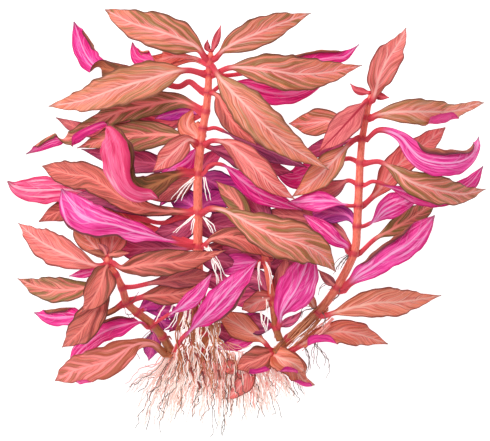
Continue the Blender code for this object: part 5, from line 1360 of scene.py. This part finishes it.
    def grow(self, kind: RootKind, tree: bpy.types.NodeTree) -> bpy.types.Object:
        """Run the strands' tree over one kind's guide lines and keep the plain mesh.

        Args:
            kind: the roots to grow.
            tree: the node tree from tree().

        Returns:
            The strands as one mesh object.
        """
        places: list[np.ndarray] = []
        edges: list[tuple[int, int]] = []
        for guide in kind.guides:
            points = np.array(guide, float)
            run = spline(points, 2 * points[0] - points[1], 2 * points[-1] - points[-2], 5)
            base = len(places)
            places.extend((run - np.array((CENTRE_X, CENTRE_Y, 0.0))) * MM)
            edges.extend((base + i, base + i + 1) for i in range(len(run) - 1))
        mesh = bpy.data.meshes.new(kind.label + "_guides")
        mesh.from_pydata([tuple(p) for p in places], edges, [])
        guide_object = bpy.data.objects.new(kind.label + "_guides", mesh)
        bpy.context.scene.collection.objects.link(guide_object)
        material = kind.finish.material()
        values = {"Copies": kind.copies, "Spread Start": kind.spread_start * MM,
                  "Spread End": kind.spread_end * MM, "Wander": kind.wander * MM,
                  "Wander Scale": self.wander_scale, "Radius": kind.radius * MM,
                  "Tip Share": kind.tip_share, "Shortest": kind.shortest, "Points": self.points,
                  "Sides": self.sides, "Seed": kind.seed, "Finish": material}
        grower = guide_object.modifiers.new("strands", "NODES")
        grower.node_group = tree
        for item in tree.interface.items_tree:
            if item.in_out == "INPUT" and item.name in values:
                grower[item.identifier] = values[item.name]
        guide_object.update_tag()
        bpy.context.view_layer.update()
        shaped = guide_object.evaluated_get(bpy.context.evaluated_depsgraph_get())
        result = bpy.data.meshes.new_from_object(shaped)
        result.name = kind.label
        guide_object.modifiers.remove(grower)
        bpy.data.objects.remove(guide_object)
        item = bpy.data.objects.new(kind.label, result)
        bpy.context.scene.collection.objects.link(item)
        LOG.info("%s: %d faces", kind.label, len(result.polygons))
        return item

    def build(self) -> None:
        """Grow every kind of root; the pale skirt stands for the roots' node."""
        # The last number of each finish is the strength of its painted glow
        milky = RootFinish("milky", "#FFEDE4", "#FFFFFF", 0.28)
        peach = RootFinish("peach", "#F6D4C8", "#FCEAE2", 0.18)
        rosy = RootFinish("rosy", "#F0887E", "#FAC8BE", 0.10)
        grey = RootFinish("grey", "#6A5C54", "#8A7C74", 0.0)
        bark = RootFinish("bark", "#B0603E", "#E8A07C", 0.05)
        fleck = RootFinish("fleck", "#6E3038", "#C8604E", 0.0)
        tree = self.tree()
        kinds = (
            RootKind("roots_pale", peach, self.skirt(26), 9, 2.6, 4.2, 2.6, 0.36, 0.5, 3),
            RootKind("roots_rosy", rosy, self.skirt(13, 1.0), 3, 2.2, 4.0, 3.0, 0.28, 0.3, 8),
            RootKind("roots_coral", rosy, ROOT_LINES["rosy"], 5, 1.3, 2.2, 2.4, 0.36, 0.5, 6),
            RootKind("roots_dark", grey, self.skirt(19, 1.5), 2, 3.0, 6.5, 6.0, 0.21, 0.85, 9, 0.9),
            RootKind("roots_tangle", milky, self.tangle(9, 0.5), 3, 2.6, 3.4, 4.0, 0.30, 0.4, 12),
            RootKind("roots_ochre", bark, self.tangle(7, 0.3), 4, 2.4, 2.6, 4.0, 0.45, 0.3, 14),
            RootKind("roots_joint", milky, ROOT_LINES["white"], 2, 0.7, 1.6, 1.6, 0.36, 0.7, 21),
            RootKind("roots_bark", bark, ROOT_LINES["bark"], 4, 1.4, 1.6, 1.4, 0.36, 0.7, 23),
            RootKind("roots_hair", grey, ROOT_LINES["hair"], 3, 1.0, 2.2, 2.6, 0.20, 0.5, 25, 0.7),
            RootKind("roots_flecks", fleck, ROOT_LINES["fleck"], 2, 1.4, 1.6, 1.6, 0.55, 0.6, 27),
        )
        for kind in kinds:
            item = self.grow(kind, tree)
            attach(item, "root")
            if kind.label == "roots_pale":
                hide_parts("roots")


@dataclass
class Studio:
    """A pale floor under a broad white sky, one soft key light and a camera that looks down."""

    picture_width: float = 0.245  # metres across the frame, at the bunch's middle height
    camera_height: float = 4.0
    middle_height: float = 0.036
    floor_size: float = 12.0
    sky: float = 0.56
    key: float = 2.02
    key_from: tuple[float, float, float] = field(default=(-0.55, 0.45, 1.0))

    def floor_material(self) -> bpy.types.Material:
        """White opal board, lit a little from below as on a light table, so shadows stay pale."""
        material = bpy.data.materials.new("white_opal_board")
        material.use_nodes = True
        shader = material.node_tree.nodes["Principled BSDF"]
        shader.inputs["Base Color"].default_value = to_linear("#B8B8B8")
        shader.inputs["Roughness"].default_value = 0.9
        shader.inputs["Emission Color"].default_value = to_linear("#FFFFFF")
        shader.inputs["Emission Strength"].default_value = 0.92
        return material

    def build(self) -> None:
        """Set up the floor, the light and the camera."""
        size = self.floor_size / 2
        mesh = bpy.data.meshes.new("floor")
        mesh.from_pydata([(-size, -size, 0), (size, -size, 0), (size, size, 0), (-size, size, 0)],
                         [], [(0, 1, 2, 3)])
        mesh.materials.append(self.floor_material())
        floor = bpy.data.objects.new("floor", mesh)
        bpy.context.scene.collection.objects.link(floor)

        world = bpy.data.worlds.new("white_sky")
        world.use_nodes = True
        back = world.node_tree.nodes["Background"]
        back.inputs["Color"].default_value = (1.0, 1.0, 1.0, 1.0)
        back.inputs["Strength"].default_value = self.sky
        bpy.context.scene.world = world

        lamp = bpy.data.lights.new("key", "SUN")
        lamp.energy = self.key
        lamp.angle = math.radians(35)
        key = bpy.data.objects.new("key", lamp)
        way = np.array(self.key_from) / np.linalg.norm(self.key_from)
        key.rotation_euler = (math.acos(way[2]), 0.0, math.atan2(way[1], way[0]) + math.pi / 2)
        bpy.context.scene.collection.objects.link(key)

        view = bpy.data.cameras.new("camera")
        view.type = "PERSP"
        view.sensor_width = 36.0
        view.lens = 36.0 * self.camera_height / self.picture_width
        view.clip_end = 100.0
        camera = bpy.data.objects.new("camera", view)
        camera.location = (-CENTRE_X * MM, -CENTRE_Y * MM, self.camera_height + self.middle_height)
        bpy.context.scene.collection.objects.link(camera)
        bpy.context.scene.camera = camera
        bpy.context.scene.view_settings.view_transform = "Standard"


def main() -> None:
    """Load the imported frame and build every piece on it."""
    logging.basicConfig(level=logging.INFO, format="%(name)s: %(message)s")
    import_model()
    Studio().build()
    Stems().build()
    Foliage().build()
    Roots().build()


if __name__ == "__main__":
    main()
